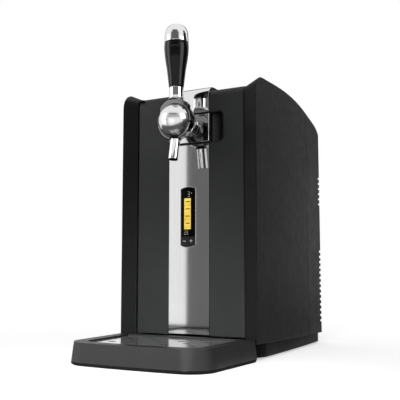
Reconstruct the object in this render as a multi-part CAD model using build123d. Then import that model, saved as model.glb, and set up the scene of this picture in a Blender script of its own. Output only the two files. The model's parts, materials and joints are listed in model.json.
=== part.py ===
"""Mini keg beer dispenser: a cooled cabinet with a hinged front door, a lever tap and a drip tray.

Millimetres, +Z up, the front faces -Y. Everything is drawn with y = 0 at the cabinet's front rims,
and save() moves it so that the origin is the middle of the footprint, on the table.
"""
from build123d import *
import os
from math import cos, radians, sin

os.makedirs("parts", exist_ok=True)

# ---------- cabinet ----------
WIDTH = 262.0  # across the side panels at their widest
FRONT_TAPER = 2.0  # how much narrower the front rims are
REAR_TAPER = 11.0  # how much narrower the rear face is
WIDEST_AT = 120.0  # the side panels are widest this far behind the rims
BODY_DEPTH = 340.0  # front rims to rear face
WALL_TOP = 462.0  # top of the side walls behind the shoulder
SHOULDER_R = 30.0  # the side walls' front top corner
REAR_CORNER_R = 14.0
REAR_OVERRUN = 4.0  # the side outline is drawn this far past the rear face, which cuts it off
WALL = 3.0  # moulded plastic wall
CREST = ((0.245, 0.7), (0.581, -7.2), (0.816, -22.3), (0.961, -39.3))
CREST_END = -66.0  # the walls' top edge: share of the depth behind the shoulder, rise above WALL_TOP
RIM = 26.6  # sloping rim, from the outer edge in to the door
RIM_DROP = 12.0  # how far the rim slopes back, and down along the top
EDGE_R = 1.5  # rounding of the outer edge of the rims
SEAM = 246.0  # side panels end here and the rear cover begins
SEAM_GAP = 0.5
PANEL_FOOT_FRONT = 27.0  # the side panels' lower edge, at the front
PANEL_FOOT_REAR = 20.0

# ---------- plinth and feet ----------
FOOT_HEIGHT = 2.5
FOOT_R = 11.0
FOOT_INSET = 38.0  # foot centres in from the plinth's sides
PLINTH_TOP = 38.0
PLINTH_INSET = 3.6  # under the side panels
PLINTH_FRONT = 14.0  # behind the rims
PLINTH_FRONT_R = 40.0
POST_R = 6.0
POST_X = 80.0
POST_INSET = 22.0  # posts in from the chamber's flange and the foam's rear

# ---------- door ----------
DOOR_THICK = 40.0
DOOR_GAP = 0.8  # round the door
DOOR_BOTTOM = 35.0
HINGE_IN = 4.0  # hinge axis in from the door's corner, which is rounded about it
HINGE_PIN_R = 2.0
HINGE_FIT = 0.06
HINGE_PLATE = 3.0
HINGE_EYE_R = 6.0
HINGE_CLEAR = 0.8
GASKET_DEPTH = 3.0
GASKET_WIDTH = 4.0
STRIP_WIDTH = 77.0
STRIP_THICK = 1.2
STRIP_RISE = 6.5  # how far the strip stands up from the door's top
STRIP_GAP = 0.8
SKIN_GAP = 0.3  # between skins and what fills them
MAGNET_SIZE = (8.0, 3.0, 22.0)
MAGNET_HEIGHTS = (110.0, 340.0)

# ---------- tap plate and finger pocket ----------
TAP_Z = 388.7  # height of the ball and shank
PLATE_BELOW = 30.0  # tap plate, below and above the shank's axis
PLATE_ABOVE = 19.4
PLATE_GAP = 2.0  # between the tap plate and the strip above and below it
POCKET_WIDTH = 28.0
POCKET_DEPTH = 22.0
POCKET_SHALLOW = 7.0  # depth at the strip, where the floor starts to slope
POCKET_R = 9.0
POCKET_WALL = 1.6

# ---------- display and buttons ----------
DISPLAY_X = -1.0  # middle of the display
DISPLAY_WIDTH = 30.0
DISPLAY_HEIGHT = 104.0
DISPLAY_BOTTOM = 180.0
DISPLAY_DOME = 3.5  # rise of the domed ends
DISPLAY_PROUD = 0.8
DISPLAY_SUNK = 0.2  # the window and the buttons behind the bezel's face
DISPLAY_RIM = 1.0
DISPLAY_DEPTH = 3.4
BUTTON_HEIGHT = 17.4  # the two buttons' part of the display
BUTTON_GAP = 0.35
BUTTON_TRAVEL = 0.8
BAR_WIDTH = 13.8
BAR_LEFT = -8.4
BAR_BOTTOM = 209.4
SEGMENT_HEIGHT = 5.6
SEGMENT_GAP = 0.53
SEGMENTS = 9
BOARD_THICK = 1.6

# ---------- tap ----------
BALL_R = 28.3
BALL_OUT = 45.7  # ball centre in front of the door's face
YOKE_CLEAR = 0.5
YOKE_R = 31.3
YOKE_RISE = 6.8  # how far the crescent over the ball stands up
YOKE_HALF_DEPTH = 5.0
YOKE_END_R = 5.0
YOKE_SHOULDER = 26.0  # half width of the crescent
CUP_CLEAR = 0.5
CUP_R = 31.3
CUP_NECK_R = 15.0
CUP_FLANGE_R = 19.0
SHANK_R = 9.0
SHANK_BORE = 4.5
SHANK_TAIL = 14.0  # behind the door
CAVITY_R = 9.6
CAVITY_HALF = 12.5
PIVOT_R = 2.5
PIVOT_FIT = 0.05
CAM_R = 2.0
CAM_OFFSET = 5.0
SPOUT_R = 7.7
SPOUT_BORE = 5.6
SPOUT_LEAN = 5.0  # degrees, mouth forward
SPOUT_END = 65.0  # mouth, below the ball's centre
SEAL_R = 9.2
SEAL_HEIGHT = 4.0
NECK_R = 11.0
NECK_FOOT_R = 12.6
NECK_SADDLE = 4.0  # how far the foot reaches down over the crescent
NECK_BACK = 2.7  # lever axis behind the ball's centre
NECK_TOP = 445.2
GRIP_TOP = 523.0
GRIP_FOOT_R = 12.3
GRIP_R = 20.5
CAP_TOP = 554.5
KNOB_R = 2.8

# ---------- drip tray ----------
TRAY_REACH = 170.0  # out from the front rims
TRAY_HEIGHT = 34.0
TRAY_TAPER = 16.0  # how much narrower than the cabinet the sides would meet the front
TRAY_BOW = 6.5
TRAY_CORNER_R = 44.0
TRAY_DRAFT = 4.0  # the top is this much smaller all round
TRAY_RIM = 20.0
TRAY_FLOOR = 3.0
TRAY_BACK_GAP = 0.8
LEDGE = 4.0
GRILLE_THICK = 1.5
GRILLE_SUNK = 2.5
GRILLE_FIT = 0.5
SLOT_LENGTH = 14.0
SLOT_WIDTH = 8.0
SLOT_PITCH_X = 48.0
SLOT_PITCH_Y = 26.0
SLOT_ROWS = 5
SLOT_START = 26.0  # first row, in front of the rims
TONGUE_WIDTH = 24.0
TONGUE_LENGTH = 22.0
TONGUE_HEIGHT = 5.0
TONGUE_X = 62.0
TONGUE_Z = 14.0
TONGUE_FIT = 0.6

# ---------- keg chamber and cooling ----------
CHAMBER_SIDE = 36.5  # from the cabinet's widest line in to the chamber
CHAMBER_DEPTH = 196.0
CHAMBER_BOTTOM = 50.0
CHAMBER_TOP = 424.0
CHAMBER_R = 10.0
FLANGE_THICK = 3.0
FOAM_SIDE = 20.0
FOAM_BACK = 20.0
FOAM_UNDER = 6.0
PAD_HEIGHT = 2.0
PAD_WIDTH = 12.0
PAD_X = 45.0
PAD_INSET = 20.0
PLATE_SIZE = 120.0
PLATE_Z = 270.0
PLATE_THICK = 12.0
PELTIER_SIZE = 40.0
PELTIER_THICK = 4.0
SINK_SIZE = 96.0
SINK_BASE = 7.0
FIN_LENGTH = 17.0
FIN_THICK = 1.6
FINS = 14
FAN_SIZE = 92.0
FAN_DEPTH = 22.0
FAN_BORE = 86.0
FAN_HUB_R = 19.0
FAN_BLADES = 7
FAN_SHAFT_R = 2.0
FAN_SHAFT_FIT = 0.05
SCREW_R = 2.0
SCREW_BITE = 6.0  # into the fins

HOSE_R = 3.0
HOSE_X = 62.0  # hose and coupler, right of the middle
HOSE_Z = 380.0
PUMP_Z = 42.0  # underside of the pump
COUPLER_R = 9.0
COUPLER_REACH = 16.0  # out from the chamber's rear wall
PROBE_R = 3.0
PROBE_REACH = 14.0
PUMP_BACK = 24.0  # pump and hose axis behind the foam
PUMP_SIZE = (36.0, 36.0, 42.0)  # the pump's head
MOTOR_R = 16.0
MOTOR_HEIGHT = 34.0
NOZZLE_HEIGHT = 8.0
HOSE_BEND_R = 16.0
SUPPLY_SIZE = (82.0, 36.0, 88.0)
SUPPLY_PLACE = (-100.0, 4.0, 90.0)  # left edge, gap behind the foam, lower edge
CIRCUIT_SIZE = (28.0, 120.0)
CIRCUIT_PLACE = (-8.0, 70.0)  # left and lower edge

# ---------- rear ----------
VENT_PITCH = 10.5
VENT_SLOT = 4.6
CORNER_VENTS = ((41.0, 14), (273.0, 6))  # lowest slot and number of slots in each group
CORNER_VENT_IN = 20.0  # how far the corner slots reach in from the side and the rear
REAR_VENTS = ((205.0, 13, 84.0),)  # lowest slot, number, width
INLET_X = -70.0
INLET_Z = 62.0
INLET_SIZE = (27.0, 20.0)
INLET_DEPTH = 20.0
INLET_WALL = 2.0
INLET_FLANGE = 4.0
INLET_PINS = ((-7.0, 0.0), (7.0, 0.0), (0.0, 4.0))

# ---------- worked out ----------
FRONT_WIDTH = WIDTH - FRONT_TAPER
REAR_WIDTH = WIDTH - REAR_TAPER
CHAMBER_WIDTH = WIDTH - 2 * CHAMBER_SIDE
TRAY_NOSE_WIDTH = WIDTH - TRAY_TAPER
Y_SHIFT = (TRAY_REACH - BODY_DEPTH) / 2
DOOR_FACE = RIM_DROP
DOOR_BACK = DOOR_FACE + DOOR_THICK
FLANGE_FACE = DOOR_BACK + GASKET_DEPTH
INNER_HALF = WIDTH / 2 - RIM  # the side panels' inner edge
DOOR_HALF = INNER_HALF - DOOR_GAP
DOOR_TOP = WALL_TOP - RIM_DROP
HINGE_X = -DOOR_HALF + HINGE_IN
HINGE_Y = DOOR_FACE + HINGE_IN
STRIP_HALF = STRIP_WIDTH / 2
PLATE_BOTTOM = TAP_Z - PLATE_BELOW
PLATE_TOP = TAP_Z + PLATE_ABOVE
POCKET_BOTTOM = PLATE_BOTTOM - PLATE_GAP
POCKET_TOP = PLATE_TOP + PLATE_GAP
STRIP_REAR = DOOR_BACK - WALL
BALL_Y = DOOR_FACE - BALL_OUT
CHAMBER_BACK = FLANGE_FACE + CHAMBER_DEPTH
LINER_BACK = CHAMBER_BACK + WALL
FOAM_REAR = LINER_BACK + FOAM_BACK
COLD_REAR = LINER_BACK + PLATE_THICK
SINK_FRONT = COLD_REAR + PELTIER_THICK
FAN_FRONT = SINK_FRONT + SINK_BASE + FIN_LENGTH
FAR = 2 * WALL_TOP


def block(x0, x1, y0, y1, z0, z1):
    """A box between two corners."""
    centre = ((x0 + x1) / 2, (y0 + y1) / 2, (z0 + z1) / 2)
    return Pos(*centre) * Box(x1 - x0, y1 - y0, z1 - z0)


def rod(radius, start, end):
    """A cylinder from one point to another."""
    line = Vector(*end) - Vector(*start)
    plane = Plane(origin=start, z_dir=line)
    return extrude(plane * Circle(radius), amount=line.length)


def both_sides(shape):
    return [shape, mirror(shape, Plane.YZ)]


def save(name, shape):
    """Write one piece, or one group of like pieces, in the row's frame."""
    pieces = shape if isinstance(shape, (list, tuple)) else [shape]
    solids = [s for piece in pieces for s in piece.solids()]
    moved = [Pos(0, Y_SHIFT, 0) * s for s in solids]
    export_step(moved[0] if len(moved) == 1 else Compound(children=moved), f"parts/{name}.step")


# ---------- the cabinet's outer form ----------
def side_profile(x, slope, wall):
    """The cabinet's outline seen from the side, at x. slope is how far the rim has dropped there."""
    front = slope + wall
    rear = BODY_DEPTH - wall + REAR_OVERRUN
    top = WALL_TOP - slope - wall
    foot = 8.0 if wall else 0.0
    corner_z = WALL_TOP - SHOULDER_R
    start = (front, PANEL_FOOT_FRONT - foot)
    back = (SHOULDER_R - front) * (1 - cos(radians(45)))
    up = (SHOULDER_R - front) * sin(radians(45))
    shoulder = ThreePointArc((front, corner_z), (front + back, corner_z + up), (SHOULDER_R, top))
    run = BODY_DEPTH - wall - SHOULDER_R
    middle = [(SHOULDER_R + share * run, top + rise) for share, rise in CREST]
    end = (rear, top + CREST_END)
    crest = Spline((SHOULDER_R, top), *middle, end, tangents=[(1, 0), (0.25, -1)])
    outline = [
        Line(start, (front, corner_z)),
        shoulder,
        crest,
        Line(end, (rear, PANEL_FOOT_REAR - foot)),
        Line((rear, PANEL_FOOT_REAR - foot), start),
    ]
    return Plane.YZ.offset(x) * make_face(outline)


def plan(inset, front):
    """The cabinet's outline seen from above: gently bulging sides and rounded rear corners."""
    rear = BODY_DEPTH - inset
    right = ThreePointArc(
        (FRONT_WIDTH / 2 - inset, front),
        (WIDTH / 2 - inset, WIDEST_AT),
        (REAR_WIDTH / 2 - inset, rear),
    )
    left = mirror(right, Plane.YZ)
    outline = [right, left, Line(left @ 0, right @ 0), Line(left @ 1, right @ 1)]
    face = make_face(outline)
    return fillet(face.vertices().sort_by(Axis.Y)[-2:], REAR_CORNER_R - inset / 2)


def slope_at(x):
    return RIM_DROP * (WIDTH / 2 - x) / RIM


def side_block(x_in, wall):
    """One side of the cabinet, from x_in outwards, with its sloping front and top rims."""
    x_out = WIDTH / 2 + 1
    outer = side_profile(x_out, slope_at(x_out), wall)
    inner = side_profile(x_in, slope_at(x_in), wall)
    round_plan = extrude(plan(wall, -1.0), amount=FAR)
    return loft([outer, inner], ruled=True) & round_plan


def middle_block(half, wall):
    """The cabinet between the side panels."""
    body = extrude(side_profile(-half, RIM_DROP, wall), amount=2 * half)
    return body & extrude(plan(wall, -1.0), amount=FAR)


def side_shell():
    """The right side's moulded wall, its outer edge rounded along the rims."""
    solid = side_block(INNER_HALF, 0)
    side_face = FRONT_WIDTH / 2 - EDGE_R / 2
    edges = [e for e in solid.edges() if (e @ 0.5).X > side_face and (e @ 0.5).Z > PANEL_FOOT_FRONT + EDGE_R]
    return fillet(edges, EDGE_R) - side_block(INNER_HALF - WALL, WALL)


def side_panel(shell):
    """A side panel with its sloping rims, from the front back to the seam."""
    return shell & block(0, WIDTH, -10, SEAM - SEAM_GAP, 0, FAR)


def corner_slots():
    inner = REAR_WIDTH / 2 - CORNER_VENT_IN
    front = BODY_DEPTH - CORNER_VENT_IN
    slots = []
    for low, count in CORNER_VENTS:
        for i in range(count):
            z = low + i * VENT_PITCH
            slots.append(block(inner, WIDTH / 2, front, BODY_DEPTH + 1, z, z + VENT_SLOT))
    return slots


def rear_slots():
    front = BODY_DEPTH - 2 * WALL
    slots = []
    for low, count, width in REAR_VENTS:
        for i in range(count):
            z = low + i * VENT_PITCH
            slots.append(block(-width / 2, width / 2, front, BODY_DEPTH + 1, z, z + VENT_SLOT))
    return slots


def rear_cover(shell):
    """The U-shaped cover over the cooling unit, louvred at both corners and behind the fan."""
    sides = both_sides(shell)
    middle = middle_block(INNER_HALF, 0) - middle_block(INNER_HALF, WALL)
    cover = (sides[0] + sides[1] + middle) & block(-WIDTH, WIDTH, SEAM, FAR, 0, FAR)
    for slot in corner_slots():
        cover -= slot
        cover -= mirror(slot, Plane.YZ)
    for slot in rear_slots():
        cover -= slot
    return cover - inlet_block(0, BODY_DEPTH - 2 * WALL, BODY_DEPTH + 1)


def inlet_block(extra, y0, y1):
    """A box on the mains inlet's axis, larger than the inlet by extra all round."""
    half_width = INLET_SIZE[0] / 2 + extra
    half_height = INLET_SIZE[1] / 2 + extra
    left, right = INLET_X - half_width, INLET_X + half_width
    return block(left, right, y0, y1, INLET_Z - half_height, INLET_Z + half_height)


def top_cover():
    """The lid between the side panels, from the door back to the rear cover."""
    half = INNER_HALF - SKIN_GAP
    skin = middle_block(half, 0) - middle_block(half - WALL, WALL)
    front = DOOR_BACK + DOOR_GAP
    skin &= block(-half, half, front, SEAM - SEAM_GAP, CHAMBER_TOP, FAR)
    return skin - block(-half, half, 0, FLANGE_FACE + FLANGE_THICK + SKIN_GAP, 0, DOOR_TOP - WALL)


# ---------- plinth ----------
def plinth_plan(extra):
    face = plan(PLINTH_INSET + WALL + extra, PLINTH_FRONT + extra)
    return fillet(face.vertices().sort_by(Axis.Y)[:2], PLINTH_FRONT_R - extra)


def foot_places():
    across = WIDTH / 2 - FOOT_INSET
    return [(x, y) for x in (-across, across) for y in (PLINTH_FRONT + FOOT_INSET, BODY_DEPTH - FOOT_INSET)]


def base_plinth():
    """The tub under the cabinet: it carries the chamber on posts and takes the tray's tongues."""
    outer = extrude(Pos(0, 0, FOOT_HEIGHT) * plinth_plan(0), amount=PLINTH_TOP - FOOT_HEIGHT)
    inner = extrude(Pos(0, 0, FOOT_HEIGHT + WALL) * plinth_plan(WALL), amount=PLINTH_TOP)
    tub = outer - inner
    tub -= block(-WIDTH, WIDTH, 0, FLANGE_FACE, DOOR_BOTTOM - HINGE_PLATE - 2 * HINGE_CLEAR, FAR)
    floor = FOOT_HEIGHT + WALL
    under = CHAMBER_BOTTOM - WALL - FOAM_UNDER
    for x in (-POST_X, POST_X):
        for y in (FLANGE_FACE + POST_INSET, FOAM_REAR - POST_INSET):
            tub += rod(POST_R, (x, y, floor), (x, y, under))
    for side in (-1, 1):
        x = side * TONGUE_X
        half = TONGUE_WIDTH / 2 + TONGUE_FIT
        low = TONGUE_Z - TONGUE_FIT
        tub -= block(x - half, x + half, 0, TONGUE_LENGTH + 20, low, TONGUE_Z + TONGUE_HEIGHT + TONGUE_FIT)
    return tub


def rubber_feet():
    feet = []
    for x, y in foot_places():
        feet.append(rod(FOOT_R, (x, y, 0), (x, y, FOOT_HEIGHT)))
    return feet


# ---------- chamber ----------
def rounded_block(x, y0, y1, z0, z1, radius):
    """A box centred on x = 0 whose long edges along Y are rounded."""
    solid = block(-x, x, y0, y1, z0, z1)
    return fillet(solid.edges().filter_by(Axis.Y), radius)


def chamber_liner():
    """The keg chamber's inner box, with the flange that the door's gasket closes on."""
    half = CHAMBER_WIDTH / 2
    low, high = CHAMBER_BOTTOM, CHAMBER_TOP
    outer = rounded_block(half + WALL, FLANGE_FACE, LINER_BACK, low - WALL, high + WALL, CHAMBER_R + WALL)
    flange_top = DOOR_TOP - 2 * WALL
    flange = block(-INNER_HALF, INNER_HALF, FLANGE_FACE, FLANGE_FACE + FLANGE_THICK, PLINTH_TOP, flange_top)
    inner = rounded_block(half, FLANGE_FACE - 1, CHAMBER_BACK, low, high, CHAMBER_R)
    liner = outer + flange - inner
    for plate in strike_plates():
        liner -= plate
    return liner


def keg_pads():
    """Two rubber rails that the keg stands on."""
    pads = []
    half = PAD_WIDTH / 2
    y0, y1 = FLANGE_FACE + PAD_INSET, CHAMBER_BACK - PAD_INSET
    for x in (-PAD_X, PAD_X):
        pads.append(block(x - half, x + half, y0, y1, CHAMBER_BOTTOM, CHAMBER_BOTTOM + PAD_HEIGHT))
    return pads


def insulation_foam():
    """Foam round the chamber's sides, back and floor, with a window for the cold plate."""
    half = CHAMBER_WIDTH / 2 + WALL
    front = FLANGE_FACE + FLANGE_THICK
    low = CHAMBER_BOTTOM - WALL - FOAM_UNDER
    high = CHAMBER_TOP + WALL
    outer = block(-half - FOAM_SIDE, half + FOAM_SIDE, front, FOAM_REAR, low, high - 30)
    inner = rounded_block(half, front - 1, LINER_BACK, CHAMBER_BOTTOM - WALL, high, CHAMBER_R + WALL)
    size = PLATE_SIZE / 2
    window = block(-size, size, LINER_BACK - 1, FOAM_REAR + 1, PLATE_Z - size, PLATE_Z + size)
    hose = rod(HOSE_R + SKIN_GAP, (HOSE_X, LINER_BACK - 1, HOSE_Z), (HOSE_X, FOAM_REAR + 1, HOSE_Z))
    above = block(-half, half, front - 1, LINER_BACK, high - 60, high)
    return outer - inner - above - window - hose


def cold_plate():
    size = PLATE_SIZE / 2 - 1
    return block(-size, size, LINER_BACK, COLD_REAR, PLATE_Z - size, PLATE_Z + size)


def peltier_module():
    size = PELTIER_SIZE / 2
    return block(-size, size, COLD_REAR, SINK_FRONT, PLATE_Z - size, PLATE_Z + size)


def heat_sink():
    """A base plate with upright fins that the fan blows through."""
    size = SINK_SIZE / 2
    base = SINK_FRONT + SINK_BASE
    sink = block(-size, size, SINK_FRONT, base, PLATE_Z - size, PLATE_Z + size)
    step = (SINK_SIZE - FIN_THICK) / (FINS - 1)
    for i in range(FINS):
        x = -size + i * step
        sink += block(x, x + FIN_THICK, base, base + FIN_LENGTH, PLATE_Z - size, PLATE_Z + size)
    for x, z in fan_corners():
        sink -= rod(SCREW_R, (x, FAN_FRONT - SCREW_BITE, z), (x, FAN_FRONT + 1, z))
    return sink


# ---------- fan ----------
def fan_frame():
    """The fan's square frame, with its hub and four struts at the outlet side."""
    size = FAN_SIZE / 2
    rear = FAN_FRONT + FAN_DEPTH
    frame = block(-size, size, FAN_FRONT, rear, PLATE_Z - size, PLATE_Z + size)
    frame -= rod(FAN_BORE / 2, (0, FAN_FRONT - 1, PLATE_Z), (0, rear + 1, PLATE_Z))
    hub = rod(FAN_HUB_R, (0, rear - 4, PLATE_Z), (0, rear, PLATE_Z))
    strut_reach = FAN_BORE / 2 + 1
    cross = block(-strut_reach, strut_reach, rear - 4, rear, PLATE_Z - 2.5, PLATE_Z + 2.5)
    upright = block(-2.5, 2.5, rear - 4, rear, PLATE_Z - strut_reach, PLATE_Z + strut_reach)
    frame = frame + hub + cross + upright
    frame -= rod(FAN_SHAFT_R + FAN_SHAFT_FIT, (0, rear - 5, PLATE_Z), (0, rear + 1, PLATE_Z))
    for x, z in fan_corners():
        frame -= rod(SCREW_R, (x, FAN_FRONT - 1, z), (x, rear + 1, z))
    return frame


def fan_corners():
    reach = FAN_SIZE / 2 - 5
    return [(x, PLATE_Z + z) for x in (-reach, reach) for z in (-reach, reach)]


def fan_rotor():
    """Hub, shaft and pitched blades, in one moulding."""
    front = FAN_FRONT + 3
    rear = FAN_FRONT + FAN_DEPTH - 4 - 1
    rotor = rod(FAN_HUB_R, (0, front, PLATE_Z), (0, rear, PLATE_Z))
    rotor += rod(FAN_SHAFT_R, (0, rear - 1, PLATE_Z), (0, rear + 4, PLATE_Z))
    reach = FAN_BORE / 2 - 1.5
    for i in range(FAN_BLADES):
        blade = Pos(FAN_HUB_R - 3 + (reach - FAN_HUB_R + 3) / 2, 0, 0) * Rot(38, 0, 0) * Box(
            reach - FAN_HUB_R + 3, 1.8, 17
        )
        middle = (front + rear) / 2
        rotor += Pos(0, middle, PLATE_Z) * Rot(0, i * 360 / FAN_BLADES, 0) * blade
    limit = rod(reach, (0, front, PLATE_Z), (0, rear + 5, PLATE_Z))
    return rotor & limit


def fan_screws():
    screws = []
    for x, z in fan_corners():
        rear = FAN_FRONT + FAN_DEPTH
        screw = rod(SCREW_R, (x, FAN_FRONT - SCREW_BITE, z), (x, rear, z))
        screws.append(screw + rod(1.8 * SCREW_R, (x, rear, z), (x, rear + SCREW_R, z)))
    return screws


# ---------- other works behind the chamber ----------
def power_supply():
    x, gap, z = SUPPLY_PLACE
    width, depth, height = SUPPLY_SIZE
    y = FOAM_REAR + gap
    return block(x, x + width, y, y + depth, z, z + height)


def control_board():
    """Board on the foam's rear face, with a transformer, capacitors and connectors."""
    x, z = CIRCUIT_PLACE
    width, height = CIRCUIT_SIZE
    y = FOAM_REAR
    face = y + BOARD_THICK
    board = block(x, x + width, y, face, z, z + height)
    board += block(x + 4, x + 20, face, y + 14, z + 10, z + 34)
    for rise in (48, 62, 76):
        board += rod(5, (x + 12, face, z + rise), (x + 12, y + 18, z + rise))
    board += block(x + 2, x + 24, face, y + 9, z + 98, z + 112)
    return board


def air_pump():
    """Motor and pump head lying on the plinth's rear, with a nozzle at its top."""
    y = FOAM_REAR + PUMP_BACK
    width, depth, height = PUMP_SIZE
    head = PUMP_Z + height
    motor = head + MOTOR_HEIGHT
    pump = block(HOSE_X - width / 2, HOSE_X + width / 2, y - depth / 2, y + depth / 2, PUMP_Z, head)
    pump += rod(MOTOR_R, (HOSE_X, y, head), (HOSE_X, y, motor))
    pump += rod(HOSE_R - 1, (HOSE_X, y, motor), (HOSE_X, y, motor + NOZZLE_HEIGHT))
    return pump


def air_hose():
    """From the pump's nozzle up behind the foam and forward through the liner to the coupler."""
    y = FOAM_REAR + PUMP_BACK
    start = (HOSE_X, y, PUMP_Z + PUMP_SIZE[2] + MOTOR_HEIGHT + NOZZLE_HEIGHT)
    corner = (HOSE_X, y, HOSE_Z)
    end = (HOSE_X, LINER_BACK, HOSE_Z)
    path = FilletPolyline(start, corner, end, radius=HOSE_BEND_R)
    return sweep(Plane(origin=start, z_dir=(0, 0, 1)) * Circle(HOSE_R), path=path)


def keg_coupler():
    """The gas coupling on the chamber's rear wall that meets the keg's head."""
    y = CHAMBER_BACK
    step = y - COUPLER_REACH + 6
    coupler = rod(COUPLER_R, (HOSE_X, y, HOSE_Z), (HOSE_X, step, HOSE_Z))
    coupler += rod(COUPLER_R - 3, (HOSE_X, step, HOSE_Z), (HOSE_X, y - COUPLER_REACH, HOSE_Z))
    return coupler - rod(2, (HOSE_X, y + 1, HOSE_Z), (HOSE_X, y - COUPLER_REACH - 1, HOSE_Z))


def coupler_seal():
    y = CHAMBER_BACK - COUPLER_REACH
    seal = rod(COUPLER_R - 3, (HOSE_X, y, HOSE_Z), (HOSE_X, y - 2, HOSE_Z))
    return seal - rod(2.6, (HOSE_X, y + 1, HOSE_Z), (HOSE_X, y - 3, HOSE_Z))


def temperature_probe():
    return rod(PROBE_R, (-HOSE_X, CHAMBER_BACK, HOSE_Z), (-HOSE_X, CHAMBER_BACK - PROBE_REACH, HOSE_Z))


def mains_inlet():
    """Appliance socket in the rear cover: a flanged shell with three pins."""
    rear = BODY_DEPTH
    floor = rear - INLET_DEPTH + INLET_WALL
    body = inlet_block(0, rear - INLET_DEPTH, rear)
    body += inlet_block(INLET_FLANGE, rear - WALL - INLET_WALL, rear - WALL)
    body -= inlet_block(-INLET_WALL, floor, rear + 1)
    for x, z in INLET_PINS:
        pin = block(x - 1, x + 1, floor - 1, rear - WALL, z - 2, z + 2)
        body += Pos(INLET_X, 0, INLET_Z) * pin
    return body


# ---------- hinges ----------
def hinge_heights():
    """Undersides of the two hinge plates: below the door's lower edge and in its upper edge."""
    lower = DOOR_BOTTOM - HINGE_PLATE - HINGE_CLEAR
    upper = DOOR_TOP - 2 * HINGE_PLATE - HINGE_CLEAR
    return lower, upper


def hinge_bracket(z):
    """A flat steel arm from the left side panel's inner edge out to the hinge pin."""
    eye = rod(HINGE_EYE_R, (HINGE_X, HINGE_Y, z), (HINGE_X, HINGE_Y, z + HINGE_PLATE))
    arm = block(-INNER_HALF, HINGE_X, HINGE_Y - 4, HINGE_Y + 4, z, z + HINGE_PLATE)
    plate = eye + arm
    limit = block(-INNER_HALF, 0, 0, DOOR_BACK, z - 1, z + HINGE_PLATE + 1)
    pin = rod(HINGE_PIN_R, (HINGE_X, HINGE_Y, z - 1), (HINGE_X, HINGE_Y, z + HINGE_PLATE + 1))
    return (plate & limit) - pin


def hinge_pins():
    lower, upper = hinge_heights()
    top = lower + HINGE_PLATE
    down = rod(HINGE_PIN_R, (HINGE_X, HINGE_Y, lower), (HINGE_X, HINGE_Y, DOOR_BOTTOM + 12))
    up = rod(HINGE_PIN_R, (HINGE_X, HINGE_Y, upper - 12), (HINGE_X, HINGE_Y, upper + HINGE_PLATE))
    return [down, up]


def hinge_room():
    """What the hinges need cut out of the door: the pin holes, and round the upper eye."""
    lower, upper = hinge_heights()
    hole = HINGE_PIN_R + HINGE_FIT
    room = rod(hole, (HINGE_X, HINGE_Y, DOOR_BOTTOM - 1), (HINGE_X, HINGE_Y, DOOR_BOTTOM + 13))
    room += rod(hole, (HINGE_X, HINGE_Y, upper - 13), (HINGE_X, HINGE_Y, upper))
    eye = HINGE_EYE_R + HINGE_CLEAR
    room += rod(eye, (HINGE_X, HINGE_Y, upper - HINGE_CLEAR), (HINGE_X, HINGE_Y, DOOR_TOP + 5))
    return room


def strike_plates():
    """Steel plates in the chamber flange that the door's magnets hold on to."""
    w, t, h = MAGNET_SIZE
    x = CHAMBER_WIDTH / 2 + GASKET_WIDTH + w / 2 + 1
    rear = FLANGE_FACE + FLANGE_THICK
    return [block(x - w / 2, x + w / 2, rear - t / 2, rear, z, z + h) for z in MAGNET_HEIGHTS]


# ---------- door ----------
def door_form(inset):
    """The door's solid form: flat face, top front edge rounded like the rims', back cut flat."""
    half = DOOR_HALF - inset
    body = extrude(side_profile(-half, RIM_DROP, inset), amount=2 * half)
    body &= block(-half, half, 0, DOOR_BACK, DOOR_BOTTOM + inset, FAR)
    front_edges = body.edges().filter_by(Axis.Z).group_by(Axis.Y)[0]
    return fillet(front_edges, HINGE_IN - inset) if inset < HINGE_IN - 0.5 else body


def pocket_plan(inset, depth):
    """The finger pocket's outline: in line with the gaps of the tap plate and rounded on the right."""
    x0 = STRIP_HALF + STRIP_GAP + inset
    x1 = STRIP_HALF + STRIP_GAP + POCKET_WIDTH - inset
    z0, z1 = POCKET_BOTTOM + inset, POCKET_TOP - inset
    solid = block(x0, x1, DOOR_FACE - 1, DOOR_FACE + depth, z0, z1)
    right = solid.edges().filter_by(Axis.Y).group_by(Axis.X)[-1]
    return fillet(right, POCKET_R - inset)


def finger_pocket():
    """Recess for the fingers, beside the tap plate: its floor slopes down to the right."""
    outer = pocket_plan(SKIN_GAP, POCKET_DEPTH) & block(0, DOOR_HALF, DOOR_FACE, DOOR_BACK, 0, FAR)
    inner = pocket_plan(SKIN_GAP + POCKET_WALL, POCKET_DEPTH - POCKET_WALL)
    x0 = STRIP_HALF + STRIP_GAP
    x1 = x0 + POCKET_WIDTH
    deep = DOOR_FACE + POCKET_DEPTH
    wedge_outline = Polyline(
        (x0, DOOR_FACE + POCKET_SHALLOW),
        (x0, deep),
        (x1 - POCKET_R, deep),
        close=True,
    )
    wedge = extrude(Pos(0, 0, POCKET_BOTTOM) * make_face(wedge_outline), amount=POCKET_TOP - POCKET_BOTTOM)
    return (outer - inner) + (wedge & outer)


def door_panel_right():
    half = DOOR_HALF
    skin = door_form(0) - door_form(WALL)
    skin &= block(STRIP_HALF + STRIP_GAP, half, 0, STRIP_REAR, DOOR_BOTTOM, FAR)
    return skin - pocket_plan(0, DOOR_THICK / 2)


def door_panel_left():
    half = DOOR_HALF
    skin = door_form(0) - door_form(WALL)
    skin &= block(-half, -STRIP_HALF - STRIP_GAP, 0, STRIP_REAR, DOOR_BOTTOM, FAR)
    return skin - hinge_room()


def steel_strip(low, high):
    """A stretch of the steel strip that runs down the door's middle and over its top."""
    band = door_form(0) - door_form(STRIP_THICK)
    return band & block(-STRIP_HALF, STRIP_HALF, 0, STRIP_REAR, low, high)


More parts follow.
